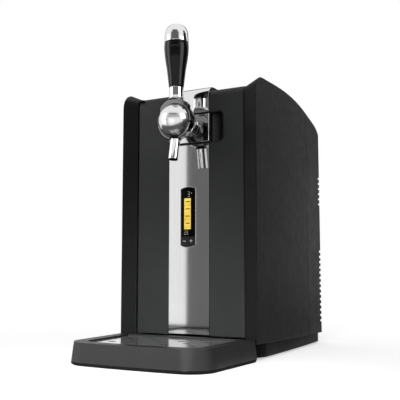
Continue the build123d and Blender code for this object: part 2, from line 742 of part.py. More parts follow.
def strip_lower():
    low = DOOR_BOTTOM + STRIP_THICK + SKIN_GAP
    return steel_strip(low, PLATE_BOTTOM - PLATE_GAP) - display_form(0, DOOR_THICK)


def strip_hump():
    """The strip's upper end, raised above the door's top, with the door's rounding at its front."""
    radius = SHOULDER_R - DOOR_FACE
    top = DOOR_TOP + STRIP_RISE
    low = PLATE_TOP + PLATE_GAP
    start = (DOOR_FACE, top - radius)
    middle = (SHOULDER_R - radius * cos(radians(45)), top - radius + radius * sin(radians(45)))
    outline = [
        Line((DOOR_FACE, low), start),
        ThreePointArc(start, middle, (SHOULDER_R, top)),
        Line((SHOULDER_R, top), (STRIP_REAR, top)),
        Line((STRIP_REAR, top), (STRIP_REAR, low)),
        Line((STRIP_REAR, low), (DOOR_FACE, low)),
    ]
    face = Plane.YZ.offset(-STRIP_HALF) * make_face(outline)
    return extrude(face, amount=STRIP_WIDTH)


def strip_upper():
    return strip_hump() - door_form(STRIP_THICK)


def tap_plate():
    plate = steel_strip(PLATE_BOTTOM, PLATE_TOP)
    return plate - rod(SHANK_R, (0, 0, TAP_Z), (0, DOOR_BACK, TAP_Z))


def door_core():
    """The moulded frame behind the skins that carries the strip, the tap and the display."""
    half = DOOR_HALF - WALL - SKIN_GAP
    core = door_form(WALL + SKIN_GAP) & block(-half, half, 0, DOOR_BACK - WALL - SKIN_GAP, 0, FAR)
    rib = door_form(STRIP_THICK) & block(-STRIP_HALF, STRIP_HALF, 0, DOOR_BACK - 2 * WALL, 0, FAR)
    core = core + rib
    core -= pocket_plan(0, POCKET_DEPTH + SKIN_GAP)
    core -= rod(SHANK_R, (0, 0, TAP_Z), (0, DOOR_BACK, TAP_Z))
    core -= display_form(0, DISPLAY_DEPTH + 6)
    core -= hinge_room()
    return core


def door_liner():
    """The pale inner wall of the door, with the sockets for the magnets."""
    z0, z1 = DOOR_BOTTOM, DOOR_TOP - 2 * WALL
    liner = block(-DOOR_HALF, DOOR_HALF, DOOR_BACK - WALL, DOOR_BACK, z0, z1)
    liner -= rod(SHANK_R, (0, 0, TAP_Z), (0, DOOR_BACK + 1, TAP_Z))
    for magnet in door_magnets():
        liner -= magnet
    return liner


def door_magnets():
    w, t, h = MAGNET_SIZE
    x = CHAMBER_WIDTH / 2 + GASKET_WIDTH + w / 2 + 1
    return [block(x - w / 2, x + w / 2, DOOR_BACK - WALL, DOOR_BACK, z, z + h) for z in MAGNET_HEIGHTS]


def door_gasket():
    """Rubber frame that closes the gap between the door and the chamber's flange."""
    half = CHAMBER_WIDTH / 2
    low, high = CHAMBER_BOTTOM, CHAMBER_TOP
    w = GASKET_WIDTH
    outer = rounded_block(half + w, DOOR_BACK, FLANGE_FACE, low - w, high + w, CHAMBER_R + w)
    return outer - rounded_block(half, DOOR_BACK - 1, FLANGE_FACE + 1, low, high, CHAMBER_R)


# ---------- display ----------
def display_outline(inset):
    half = DISPLAY_WIDTH / 2 - inset
    low = DISPLAY_BOTTOM + inset
    high = DISPLAY_BOTTOM + DISPLAY_HEIGHT - inset
    dome = DISPLAY_DOME
    outline = [
        Line((-half, low + dome), (-half, high - dome)),
        ThreePointArc((-half, high - dome), (0, high), (half, high - dome)),
        Line((half, high - dome), (half, low + dome)),
        ThreePointArc((half, low + dome), (0, low), (-half, low + dome)),
    ]
    face = make_face(outline)
    return fillet(face.vertices(), 2.5 - inset / 2)


def display_form(inset, depth, front=DISPLAY_PROUD):
    """The oblong of the display, from its front face back to a depth behind the door's face."""
    plane = Plane(origin=(DISPLAY_X, DOOR_FACE + depth, 0), x_dir=(1, 0, 0), z_dir=(0, -1, 0))
    return extrude(plane * display_outline(inset), amount=depth + front)


def display_bezel():
    """Thin bright ring round the display."""
    return display_form(0, DISPLAY_DEPTH) - display_form(DISPLAY_RIM, DISPLAY_DEPTH + 1, DISPLAY_PROUD + 1)


def display_window():
    inner = display_form(DISPLAY_RIM, DISPLAY_DEPTH, DISPLAY_PROUD - DISPLAY_SUNK)
    low = DISPLAY_BOTTOM + DISPLAY_RIM + BUTTON_HEIGHT + BUTTON_GAP
    window = inner & block(-STRIP_HALF, STRIP_HALF, 0, DOOR_BACK, low, FAR)
    for segment in level_segments():
        window -= segment
    return window


def button(side):
    """One half of the display's lower end."""
    form = display_form(DISPLAY_RIM + BUTTON_GAP, DISPLAY_DEPTH, DISPLAY_PROUD - DISPLAY_SUNK)
    high = DISPLAY_BOTTOM + DISPLAY_RIM + BUTTON_HEIGHT
    x0, x1 = sorted((DISPLAY_X + side * BUTTON_GAP / 2, side * STRIP_HALF))
    return form & block(x0, x1, 0, DOOR_BACK, 0, high)


def display_board():
    """The display's circuit board behind the window and the buttons."""
    left, right = DISPLAY_X - DISPLAY_WIDTH / 2 + 1, DISPLAY_X + DISPLAY_WIDTH / 2 - 1
    y = DOOR_FACE + DISPLAY_DEPTH + 2
    z0, z1 = DISPLAY_BOTTOM + 5, DISPLAY_BOTTOM + DISPLAY_HEIGHT - 5
    board = block(left, right, y, y + BOARD_THICK, z0, z1)
    low = DISPLAY_BOTTOM + BUTTON_HEIGHT / 2 + 2
    for x in (DISPLAY_X - 6.6, DISPLAY_X + 6.6):
        board += rod(2, (x, y - 2 + BUTTON_TRAVEL + 0.1, low), (x, y, low))
    return board


def level_segments():
    """The column of light guides of the volume bar, flush with the window's face."""
    pieces = []
    front = DOOR_FACE - DISPLAY_PROUD + DISPLAY_SUNK
    rear = DOOR_FACE + DISPLAY_DEPTH
    for i in range(SEGMENTS):
        z = BAR_BOTTOM + i * (SEGMENT_HEIGHT + SEGMENT_GAP)
        pieces.append(block(BAR_LEFT, BAR_LEFT + BAR_WIDTH, front, rear, z, z + SEGMENT_HEIGHT))
    return pieces


# ---------- tap ----------
def tap_place():
    """The ball's centre, with -Y out of the door."""
    return Pos(0, BALL_Y, TAP_Z)


def tap_shank():
    """Threaded tube from the ball back through the door."""
    rear = DOOR_BACK + SHANK_TAIL
    shank = rod(SHANK_R, (0, BALL_Y + CAVITY_R + 4, TAP_Z), (0, rear, TAP_Z))
    return shank - rod(SHANK_BORE, (0, BALL_Y, TAP_Z), (0, rear + 1, TAP_Z))


def shank_nut():
    y = DOOR_BACK
    plane = Plane(origin=(0, y, TAP_Z), z_dir=(0, 1, 0))
    nut = extrude(plane * RegularPolygon(SHANK_R + 6, 6), amount=8)
    return nut - rod(SHANK_R, (0, y - 1, TAP_Z), (0, y + 9, TAP_Z))


def tap_ball():
    """Hollow chrome ball: the beer comes in from the shank behind and leaves down the spout."""
    ball = Sphere(BALL_R)
    ball -= rod(CAVITY_R, (-CAVITY_HALF, 0, 0), (CAVITY_HALF, 0, 0))
    ball -= rod(SHANK_R, (0, CAVITY_R + 4, 0), (0, BALL_R + 1, 0))
    ball -= rod(SHANK_BORE, (0, 0, 0), (0, BALL_R, 0))
    ball -= spout_axis_rod(SPOUT_R, CAVITY_R + 6, BALL_R + 2)
    ball -= spout_axis_rod(SPOUT_BORE, 0, BALL_R)
    ball -= rod(PIVOT_R + PIVOT_FIT, (-BALL_R - 1, 0, 0), (-CAVITY_HALF, 0, 0))
    ball -= rod(PIVOT_R, (CAVITY_HALF + 3, 0, 0), (BALL_R + 1, 0, 0))
    return tap_place() * ball


def spout_axis_rod(radius, near, far):
    """A cylinder along the spout's axis, about the ball's centre."""
    down = (0, -sin(radians(SPOUT_LEAN)), -cos(radians(SPOUT_LEAN)))
    start = tuple(near * c for c in down)
    end = tuple(far * c for c in down)
    return rod(radius, start, end)


def spout():
    tube = spout_axis_rod(SPOUT_R, CAVITY_R + 6, SPOUT_END)
    return tap_place() * (tube - spout_axis_rod(SPOUT_BORE, CAVITY_R + 5, SPOUT_END + 1))


def spout_seal():
    near = BALL_R + 0.6
    ring = spout_axis_rod(SEAL_R, near, near + SEAL_HEIGHT)
    return tap_place() * (ring - spout_axis_rod(SPOUT_R, near - 1, near + SEAL_HEIGHT + 1))


def tap_cup():
    """The chrome cup that holds the ball, its neck and its flange on the tap plate."""
    back = BALL_OUT
    neck = 25.0
    outline = [
        Line((0, -YOKE_HALF_DEPTH), (CUP_R, -YOKE_HALF_DEPTH)),
        Line((CUP_R, -YOKE_HALF_DEPTH), (CUP_R, 4)),
        ThreePointArc((CUP_R, 4), (CUP_R * 0.86, neck * 0.72), (CUP_NECK_R, neck + 4)),
        ThreePointArc((CUP_NECK_R, neck + 4), (CUP_NECK_R + 0.8, back - 6), (CUP_FLANGE_R, back)),
        Line((CUP_FLANGE_R, back), (0, back)),
        Line((0, back), (0, -YOKE_HALF_DEPTH)),
    ]
    cup = revolve(make_face(outline), Axis.Y)
    cup -= Sphere(BALL_R)
    half = YOKE_HALF_DEPTH + CUP_CLEAR
    cup -= rod(BALL_R + YOKE_CLEAR, (0, -YOKE_HALF_DEPTH - 1, 0), (0, 0, 0))
    cup -= block(-WIDTH, WIDTH, -WIDTH, half, 0, FAR)
    cup -= rod(YOKE_END_R + CUP_CLEAR, (-WIDTH, 0, 0), (WIDTH, 0, 0))
    shoulder = YOKE_SHOULDER + CUP_CLEAR
    reach = NECK_BACK + NECK_FOOT_R + CUP_CLEAR
    cup -= block(-shoulder, shoulder, -WIDTH, reach, BALL_R * 0.5, FAR)
    cup -= spout_axis_rod(SEAL_R + 0.2, 0, 2 * CUP_R)
    cup -= rod(SHANK_R, (0, 0, 0), (0, back + 1, 0))
    return tap_place() * cup


def pinch_cam():
    """Shaft from the lever's left arm into the ball: its crank pinches the beer tube shut."""
    shaft = rod(PIVOT_R, (-YOKE_R, 0, 0), (-CAVITY_HALF + 3, 0, 0))
    crank = rod(6.5, (-CAVITY_HALF + 1, 0, 0), (-CAVITY_HALF + 4, 0, 0))
    start = (-CAVITY_HALF + 4, -CAM_OFFSET + 1, 2.0)
    end = (CAVITY_HALF - 2, -CAM_OFFSET + 1, 2.0)
    crank += rod(CAM_R, start, end)
    return tap_place() * (shaft + crank)


def pivot_pin():
    return tap_place() * rod(PIVOT_R, (CAVITY_HALF + 3, 0, 0), (YOKE_R, 0, 0))


def lever_yoke():
    """The crescent over the ball, its two arms and the eyes that turn on the pivots."""
    plane = Plane(origin=(0, YOKE_HALF_DEPTH, 0), x_dir=(1, 0, 0), z_dir=(0, -1, 0))
    ring = Circle(YOKE_R) - Circle(BALL_R + YOKE_CLEAR)
    band = extrude(plane * ring, amount=2 * YOKE_HALF_DEPTH)
    shoulders = Pos(0, YOKE_RISE) * Circle(YOKE_R) - Circle(BALL_R + YOKE_CLEAR)
    crown = extrude(plane * shoulders, amount=2 * YOKE_HALF_DEPTH)
    crown &= block(-YOKE_SHOULDER, YOKE_SHOULDER, -WIDTH, WIDTH, BALL_R * 0.6, FAR)
    band += crown
    eyes = rod(YOKE_END_R, (-YOKE_R, 0, 0), (YOKE_R, 0, 0))
    arms = band & (block(-WIDTH, WIDTH, -WIDTH, WIDTH, 0, FAR) + eyes)
    arms -= rod(PIVOT_R, (-YOKE_R - 1, 0, 0), (-BALL_R, 0, 0))
    arms -= rod(PIVOT_R + PIVOT_FIT, (BALL_R, 0, 0), (YOKE_R + 1, 0, 0))
    return tap_place() * arms


def lever_neck():
    """Chrome stem with a wider foot that is hollowed out underneath to sit on the crescent."""
    crown_top = YOKE_R + YOKE_RISE
    start = (0, NECK_BACK, crown_top - NECK_SADDLE)
    stem = rod(NECK_R, start, (0, NECK_BACK, NECK_TOP - TAP_Z))
    stem += rod(NECK_FOOT_R, start, (0, NECK_BACK, crown_top + 1.5))
    crown = rod(YOKE_R, (0, -WIDTH, YOKE_RISE), (0, WIDTH, YOKE_RISE))
    return tap_place() * (stem - crown)


def lever_grip():
    """Black grip that swells towards the top."""
    span = GRIP_TOP - NECK_TOP
    side = Spline(
        (GRIP_FOOT_R, 0),
        (GRIP_FOOT_R + 3.2, span * 0.36),
        (GRIP_R - 1.6, span * 0.64),
        (GRIP_R, span * 0.86),
        (GRIP_R - 0.3, span),
    )
    outline = [
        side,
        Line((GRIP_R - 0.3, span), (0, span)),
        Line((0, span), (0, 0)),
        Line((0, 0), (GRIP_FOOT_R, 0)),
    ]
    face = Plane.XZ * make_face(outline)
    return Pos(0, BALL_Y + NECK_BACK, NECK_TOP) * revolve(face, Axis.Z)


def grip_cap():
    """Chrome domed cap."""
    rise = CAP_TOP - GRIP_TOP
    foot = GRIP_R - 0.3
    outline = [
        Line((0, 0), (foot, 0)),
        Line((foot, 0), (foot - 0.5, rise * 0.42)),
        Spline(
            (foot - 0.5, rise * 0.42),
            (foot * 0.72, rise * 0.83),
            (0, rise),
            tangents=[(-0.05, 1), (-1, 0)],
        ),
        Line((0, rise), (0, 0)),
    ]
    face = Plane.XZ * make_face(outline)
    return Pos(0, BALL_Y + NECK_BACK, GRIP_TOP) * revolve(face, Axis.Z)


def lever_lock_knob():
    """Small black knob at the crescent's right end: it holds the halves of the tap together."""
    x = YOKE_SHOULDER - KNOB_R - 0.6
    z = YOKE_RISE + (YOKE_R**2 - x**2) ** 0.5 - KNOB_R
    return tap_place() * rod(KNOB_R, (x, -YOKE_HALF_DEPTH - 2.2, z), (x, -YOKE_HALF_DEPTH, z))


# ---------- drip tray ----------
def tray_outline(inset):
    """Seen from above: bowed front, rounded corners, sides that widen towards the cabinet."""
    nose = TRAY_NOSE_WIDTH / 2 - inset
    root = FRONT_WIDTH / 2 - inset
    front = -TRAY_REACH + inset
    shoulder = front + TRAY_BOW
    outline = [
        ThreePointArc((-nose, shoulder), (0, front), (nose, shoulder)),
        Line((nose, shoulder), (root, 0)),
        Line((root, 0), (-root, 0)),
        Line((-root, 0), (-nose, shoulder)),
    ]
    face = make_face(outline)
    return fillet(face.vertices().sort_by(Axis.Y)[:2], TRAY_CORNER_R - inset)


def tray_slab(inset, low, high, back):
    solid = extrude(Pos(0, 0, low) * tray_outline(inset), amount=high - low)
    return solid & block(-WIDTH, WIDTH, -WIDTH, -back, 0, FAR)


def drip_tray():
    """The tray with its sloping sides, the ledge for the grille and two tongues at the back."""
    sloping = loft([tray_outline(0), Pos(0, 0, TRAY_HEIGHT) * tray_outline(TRAY_DRAFT)], ruled=True)
    tray = sloping & block(-WIDTH, WIDTH, -WIDTH, -TRAY_BACK_GAP, 0, FAR)
    rim = TRAY_DRAFT + TRAY_RIM
    seat = TRAY_HEIGHT - GRILLE_SUNK - GRILLE_THICK
    tray -= tray_slab(rim, seat, TRAY_HEIGHT + 1, TRAY_RIM / 2)
    tray -= tray_slab(rim + LEDGE, TRAY_FLOOR, TRAY_HEIGHT + 1, TRAY_RIM / 2 + LEDGE)
    half = TONGUE_WIDTH / 2
    root = -TRAY_BACK_GAP - 1
    top = TONGUE_Z + TONGUE_HEIGHT
    for x in (-TONGUE_X, TONGUE_X):
        tray += block(x - half, x + half, root, TONGUE_LENGTH, TONGUE_Z, top)
    return tray


def drip_grille():
    """Slotted steel plate that lifts out of the tray."""
    inset = TRAY_DRAFT + TRAY_RIM + GRILLE_FIT
    low = TRAY_HEIGHT - GRILLE_SUNK - GRILLE_THICK
    plate = tray_slab(inset, low, low + GRILLE_THICK, TRAY_RIM / 2 + GRILLE_FIT)
    for row in range(SLOT_ROWS):
        y = -SLOT_START - row * SLOT_PITCH_Y
        shift = SLOT_PITCH_X / 2 if row % 2 else 0
        for column in range(-2, 3):
            x = column * SLOT_PITCH_X + shift
            reach = FRONT_WIDTH / 2 - inset - SLOT_LENGTH
            if abs(x) > reach or (y < -TRAY_REACH + 50 and abs(x) > reach - 12):
                continue
            slot = Pos(x, y, low) * SlotOverall(SLOT_LENGTH, SLOT_WIDTH)
            plate -= extrude(slot, amount=2 * GRILLE_THICK, both=True)
    return plate


def main():
    shell = side_shell()
    right, left = both_sides(side_panel(shell))
    save("left_side_panel", left)
    save("right_side_panel", right)
    save("rear_cover", rear_cover(shell))
    save("top_cover", top_cover())
    save("base_plinth", base_plinth())
    save("rubber_feet", rubber_feet())
    save("chamber_liner", chamber_liner())
    save("keg_pads", keg_pads())
    save("insulation_foam", insulation_foam())
    save("cold_plate", cold_plate())
    save("peltier_module", peltier_module())
    save("heat_sink", heat_sink())
    save("fan_frame", fan_frame())
    save("fan_rotor", fan_rotor())
    save("fan_screws", fan_screws())
    save("power_supply", power_supply())
    save("control_board", control_board())
    save("air_pump", air_pump())
    save("air_hose", air_hose())
    save("keg_coupler", keg_coupler())
    save("coupler_seal", coupler_seal())
    save("temperature_probe", temperature_probe())
    save("mains_inlet", mains_inlet())
    lower, upper = hinge_heights()
    save("lower_hinge_bracket", hinge_bracket(lower))
    save("upper_hinge_bracket", hinge_bracket(upper))
    save("hinge_pins", hinge_pins())
    save("strike_plates", strike_plates())
    save("door_panel_left", door_panel_left())
    save("door_panel_right", door_panel_right())
    save("door_core", door_core())
    save("door_liner", door_liner())
    save("door_magnets", door_magnets())
    save("door_gasket", door_gasket())
    save("finger_pocket", finger_pocket())
    save("strip_lower", strip_lower())
    save("strip_upper", strip_upper())
    save("tap_plate", tap_plate())
    save("display_bezel", display_bezel())
    save("display_window", display_window())
    save("display_board", display_board())
    save("level_segments", level_segments())
    save("minus_button", button(-1))
    save("plus_button", button(1))
    save("tap_shank", tap_shank())
    save("shank_nut", shank_nut())
    save("tap_ball", tap_ball())
    save("tap_cup", tap_cup())
    save("spout", spout())
    save("spout_seal", spout_seal())
    save("pivot_pin", pivot_pin())
    save("pinch_cam", pinch_cam())
    save("lever_yoke", lever_yoke())
    save("lever_neck", lever_neck())
    save("lever_grip", lever_grip())
    save("grip_cap", grip_cap())
    save("lever_lock_knob", lever_lock_knob())
    save("drip_tray", drip_tray())
    save("drip_grille", drip_grille())


main()
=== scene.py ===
import json
import math
import bmesh
import bpy
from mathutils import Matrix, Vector


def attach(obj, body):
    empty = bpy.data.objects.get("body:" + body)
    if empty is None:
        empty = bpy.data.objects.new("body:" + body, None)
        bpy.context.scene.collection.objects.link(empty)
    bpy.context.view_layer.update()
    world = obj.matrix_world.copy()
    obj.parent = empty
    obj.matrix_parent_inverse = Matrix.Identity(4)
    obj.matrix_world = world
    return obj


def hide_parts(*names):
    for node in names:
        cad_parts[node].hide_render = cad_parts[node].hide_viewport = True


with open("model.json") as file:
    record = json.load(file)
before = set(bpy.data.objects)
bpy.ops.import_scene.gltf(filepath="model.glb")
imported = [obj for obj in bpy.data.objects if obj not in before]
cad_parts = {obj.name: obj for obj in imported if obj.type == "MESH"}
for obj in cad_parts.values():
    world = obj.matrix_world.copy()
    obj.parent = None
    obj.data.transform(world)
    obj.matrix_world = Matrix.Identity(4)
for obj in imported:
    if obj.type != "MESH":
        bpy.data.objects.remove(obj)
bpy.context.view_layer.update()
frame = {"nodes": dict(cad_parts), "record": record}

NODES = frame["nodes"]

# The part's own frame, in metres. Shapes are given in millimetres, and MM turns them into metres.
MM = 0.001
RIMS = -0.085  # the cabinet's front rims
DOOR_FACE = 12.0  # behind the rims, in millimetres
FACE = RIMS + DOOR_FACE * MM
BALL_AHEAD = 45.7  # the ball's centre in front of the door's face, in millimetres
BALL = Vector((0.0, FACE - BALL_AHEAD * MM, 0.3887))


# ---------- camera ----------
LENS, SENSOR = 60.22, 36.0
EYE = (0.5544, -1.0593, 0.1407)
PITCH = 96.07  # degrees from straight down, so it looks a little upwards
YAW = 28.37  # degrees to the left of straight back


def add_camera():
    data = bpy.data.cameras.new("camera")
    data.lens = LENS
    data.sensor_width = SENSOR
    data.clip_start = 0.05
    data.clip_end = 50.0
    camera = bpy.data.objects.new("camera", data)
    camera.location = EYE
    camera.rotation_euler = (math.radians(PITCH), 0.0, math.radians(YAW))
    bpy.context.scene.collection.objects.link(camera)
    bpy.context.scene.camera = camera
    bpy.context.scene.view_settings.view_transform = "Standard"


# ---------- node helpers ----------
class Shader:
    """A material's node tree, built up in a few words."""

    def __init__(self, name):
        self.material = bpy.data.materials.new(name)
        self.material.use_nodes = True
        self.tree = self.material.node_tree
        self.body = self.tree.nodes["Principled BSDF"]
        self.object_space = self.add("ShaderNodeTexCoord").outputs["Object"]

    def add(self, kind, **values):
        node = self.tree.nodes.new(kind)
        for key, value in values.items():
            setattr(node, key, value)
        return node

    def link(self, output, target):
        self.tree.links.new(output, target)

    def set(self, **values):
        for key, value in values.items():
            self.body.inputs[key.replace("_", " ")].default_value = value

    def scaled(self, scale):
        """The object's coordinates, stretched: a larger number makes a finer pattern."""
        mapping = self.add("ShaderNodeMapping")
        mapping.inputs["Scale"].default_value = scale
        self.link(self.object_space, mapping.inputs["Vector"])
        return mapping.outputs["Vector"]

    def noise(self, scale, detail=2.0, rough=0.5, stretch=(1, 1, 1)):
        node = self.add("ShaderNodeTexNoise")
        node.inputs["Scale"].default_value = scale
        node.inputs["Detail"].default_value = detail
        node.inputs["Roughness"].default_value = rough
        self.link(self.scaled(stretch), node.inputs["Vector"])
        return node.outputs["Fac"]

    def spread(self, value, low, high, start=0.3, end=0.7):
        """Maps a 0..1 pattern to the range low..high."""
        node = self.add("ShaderNodeMapRange")
        node.inputs["From Min"].default_value = start
        node.inputs["From Max"].default_value = end
        node.inputs["To Min"].default_value = low
        node.inputs["To Max"].default_value = high
        self.link(value, node.inputs["Value"])
        return node.outputs["Result"]

    def mix(self, value, dark, light):
        node = self.add("ShaderNodeMix", data_type="RGBA")
        node.inputs["A"].default_value = (*dark, 1)
        node.inputs["B"].default_value = (*light, 1)
        self.link(value, node.inputs["Factor"])
        return node.outputs["Result"]

    def bump(self, height, strength, distance):
        node = self.add("ShaderNodeBump")
        node.inputs["Strength"].default_value = strength
        node.inputs["Distance"].default_value = distance
        self.link(height, node.inputs["Height"])
        self.link(node.outputs["Normal"], self.body.inputs["Normal"])


# ---------- materials ----------
# Patterns are counted per metre, and their depths are in metres.
CLOUDS, GLOSS_PATCHES = 14.0, 60.0
GRAIN, GRAIN_DEPTH = 2600.0, 0.00006
SMEARS, WIPES = 9.0, 40.0
SCRATCHES, SCRATCH_DEPTH = 300.0, 0.00002
GLOW_PATCHES = 160.0


def shade(colour, share):
    return tuple(share * c for c in colour)


def grey(level):
    return (level, level, level)


def moulded(name, colour, roughness, grain=0.25, specular=0.3):
    """Moulded plastic: fine spark-eroded grain, with slight clouding of its colour and gloss."""
    s = Shader(name)
    s.set(Specular_IOR_Level=specular)
    clouds = s.spread(s.noise(CLOUDS, 3.0), 0, 1)
    s.link(s.mix(clouds, shade(colour, 0.9), shade(colour, 1.1)), s.body.inputs["Base Color"])
    gloss = s.spread(s.noise(GLOSS_PATCHES, 3.0), roughness - 0.04, roughness + 0.04)
    s.link(gloss, s.body.inputs["Roughness"])
    if grain:
        s.bump(s.noise(GRAIN, 2.0, 0.6), grain, GRAIN_DEPTH)
    return s.material


def polished(name, colour, roughness, smear=0.015):
    """Polished metal with faint wipe marks in its gloss."""
    s = Shader(name)
    s.set(Metallic=1.0)
    smears = s.spread(s.noise(SMEARS, 3.0), 0, 1)
    s.link(s.mix(smears, shade(colour, 0.96), colour), s.body.inputs["Base Color"])
    wipes = s.spread(s.noise(WIPES, 5.0, 0.65), roughness, roughness + smear)
    s.link(wipes, s.body.inputs["Roughness"])
    return s.material


def brushed(name, colour, roughness, stretch, strength=0.04, smear=0.05, metallic=1.0):
    """Brushed metal: long fine scratches along one direction."""
    s = Shader(name)
    s.set(Metallic=metallic)
    lines = s.noise(SCRATCHES, 4.0, 0.6, stretch)
    s.link(s.mix(s.spread(lines, 0, 1), shade(colour, 0.93), colour), s.body.inputs["Base Color"])
    s.link(s.spread(lines, roughness, roughness + smear), s.body.inputs["Roughness"])
    s.bump(lines, strength, SCRATCH_DEPTH)
    return s.material


def glowing(name, dark, light, level):
    """A lit inlay, a little uneven."""
    s = Shader(name)
    s.set(Roughness=0.3, Emission_Strength=level)
    s.body.inputs["Base Color"].default_value = (*grey(0.02), 1)
    tone = s.mix(s.spread(s.noise(GLOW_PATCHES, 2.0), 0, 1), dark, light)
    s.link(tone, s.body.inputs["Emission Color"])
    return s.material


def make_materials():
    m = {}

    def add(kind, name, *values, **named):
        m[name] = kind(name, *values, **named)

    # casings and tray
    add(moulded, "body_plastic", (0.0138, 0.0141, 0.0144), 0.5, specular=0.2)
    # A darker copy of the panels' plastic, for their front rims: painted shade.
    add(moulded, "rim_plastic", (0.0062, 0.0062, 0.0065), 0.5, specular=0.1)
    add(moulded, "door_plastic", (0.015, 0.0158, 0.0158), 0.5, specular=0.22)
    add(moulded, "tray_plastic", (0.0172, 0.0172, 0.0179), 0.42)
    add(moulded, "plinth_plastic", (0.005, 0.005, 0.0052), 0.55, specular=0.1)
    add(moulded, "pocket_plastic", grey(0.006), 0.32, grain=0.0)
    # Black rubber for the spout's seal, also used as painted shade inside the spout, on the tray's
    # foot band and in the grille's slots.
    add(moulded, "rubber", grey(0.006), 0.8, specular=0.1)
    # strip, grille and tap
    add(brushed, "strip_steel", grey(0.78), 0.05, (1.0, 1.0, 0.02), 0.02, 0.02)
    add(brushed, "grille_steel", (0.60, 0.60, 0.61), 0.1, (1.0, 0.03, 1.0), 0.03, 0.04, 0.75)
    add(polished, "tap_chrome", grey(0.80), 0.03)
    add(polished, "ball_chrome", grey(0.80), 0.21, 0.02)
    # A darker copy of the tap's chrome, for the cup and the crescent: painted shade for their
    # darker reflections.
    add(polished, "dark_chrome", grey(0.22), 0.08)
    add(moulded, "grip_plastic", grey(0.005), 0.08, grain=0.0, specular=0.2)
    add(moulded, "knob_plastic", grey(0.010), 0.3, grain=0.0)
    # display and keys
    add(moulded, "display_black", (0.0015, 0.0015, 0.002), 0.06, grain=0.0, specular=0.06)
    add(polished, "bezel_chrome", grey(0.60), 0.15)
    add(glowing, "light_guide", (0.86, 0.50, 0.012), (1.0, 0.78, 0.06), 0.95)
    add(glowing, "amber_line", (0.62, 0.36, 0.01), (0.75, 0.44, 0.02), 0.95)
    add(glowing, "dim_glow", (0.30, 0.30, 0.24), (0.42, 0.42, 0.34), 0.8)
    add(moulded, "dash_brown", (0.012, 0.008, 0.002), 0.4, grain=0.0, specular=0.05)
    add(moulded, "key_black", (0.012, 0.012, 0.014), 0.2, grain=0.0, specular=0.15)
    add(moulded, "key_mark", grey(0.27), 0.4, grain=0.0)
    # inside and behind
    add(moulded, "liner_plastic", (0.60, 0.61, 0.62), 0.4, grain=0.1)
    add(moulded, "foam", (0.80, 0.77, 0.66), 0.9)
    add(brushed, "sheet_steel", grey(0.50), 0.35, (1.0, 1.0, 0.1))
    # Black for the hinge seen in the door's gap: painted shade.
    add(moulded, "black_steel", grey(0.010), 0.5, grain=0.1, specular=0.15)
    add(brushed, "aluminium", (0.75, 0.76, 0.77), 0.35, (0.1, 1.0, 1.0))
    add(moulded, "ceramic", (0.85, 0.85, 0.83), 0.6)
    add(moulded, "fan_plastic", grey(0.015), 0.45)
    add(moulded, "board_green", (0.02, 0.12, 0.045), 0.35)
    add(brushed, "screw_steel", grey(0.55), 0.3, (1.0, 1.0, 1.0))
    add(moulded, "hose_clear", (0.60, 0.62, 0.62), 0.35)
    add(moulded, "magnet", grey(0.20), 0.6)
    return m


# ---------- studio ----------
WHITE = (1, 1, 1, 1)
WORLD_LEVEL = 0.7
FLOOR_GREY = (0.80, 0.80, 0.80, 1)
FLOOR_REACH = 6.0
FLOOR_LIFT = 0.45  # the floor's own light where it is seen, so that it meets the background
LOW_SPREAD = 34.0  # degrees

# Upright cards bent round the object, mirrored in its metal: the azimuths from and to, counted
# from the front to the right, then the distance, the heights from and to and the brightness.
ARC_CARDS = {
    "card_low": (-29.9, -22.0, 0.6, 0.0, 0.5, 0.16),  # the steel strip's dark right half
    "card_neck": (-26.0, 60.0, 0.6, 0.54, 0.635, 0.19),
    "card_cap": (-22.0, 48.0, 0.6, 0.69, 0.84, 0.14),
    "card_cap_top": (-12.0, 38.0, 0.6, 0.84, 0.90, 0.14),
    "card_back": (165.0, 240.0, 0.75, 0.4, 1.25, 0.06),  # the crescent's top
    "strip_left": (-62.0, -40.0, 0.6, 0.46, 0.78, 4.0),  # the light streaks on ball and handle
    "strip_right": (66.0, 96.0, 0.6, 0.48, 0.78, 4.0),
    "card_right": (74.0, 102.0, 0.45, 0.0, 0.47, 0.03),
}
ARC_STEPS = 12

# The dark card beside the right side: where it runs on the floor, its top and its brightness.
SIDE_CARD = ((0.6, 0.0), (0.6, 1.35))
SIDE_CARD_TOP, SIDE_CARD_LEVEL = 0.9, 0.03

# Dark cards lying just above the floor, for the lower half of the chrome: x and y from and to.
FLOOR_CARDS = {
    "card_front": (-1.8, 1.8, -0.62, -0.262),
    "card_left": (-1.8, -0.15, -0.262, 0.6),
    "card_front_right": (0.15, 1.8, -0.262, 0.0),
    "card_beside": (0.16, 0.9, 0.0, 1.2),
}
FLOOR_CARD_Z, FLOOR_CARD_LEVEL = 0.0015, 0.1


def seen_rays(tree, others):
    """1 for the camera's rays, and for the other kinds of ray that show the background too."""
    path = tree.nodes.new("ShaderNodeLightPath")
    total = path.outputs["Is Camera Ray"]
    for name in others:
        either = tree.nodes.new("ShaderNodeMath")
        either.operation = "MAXIMUM"
        tree.links.new(total, either.inputs[0])
        tree.links.new(path.outputs[name], either.inputs[1])
        total = either.outputs[0]
    return total


def add_world():
    """White behind the object, and pale all round for the light."""
    world = bpy.data.worlds.new("studio")
    bpy.context.scene.world = world
    world.use_nodes = True
    tree = world.node_tree
    link = tree.links.new
    lighting = tree.nodes["Background"]
    lighting.inputs["Color"].default_value = WHITE
    lighting.inputs["Strength"].default_value = WORLD_LEVEL
    white = tree.nodes.new("ShaderNodeBackground")
    white.inputs["Color"].default_value = WHITE
    white.inputs["Strength"].default_value = 1.0
    either = tree.nodes.new("ShaderNodeMixShader")
    link(seen_rays(tree, ("Is Glossy Ray", "Is Transmission Ray")), either.inputs["Fac"])
    link(lighting.outputs[0], either.inputs[1])
    link(white.outputs[0], either.inputs[2])
    link(either.outputs[0], tree.nodes["World Output"].inputs["Surface"])


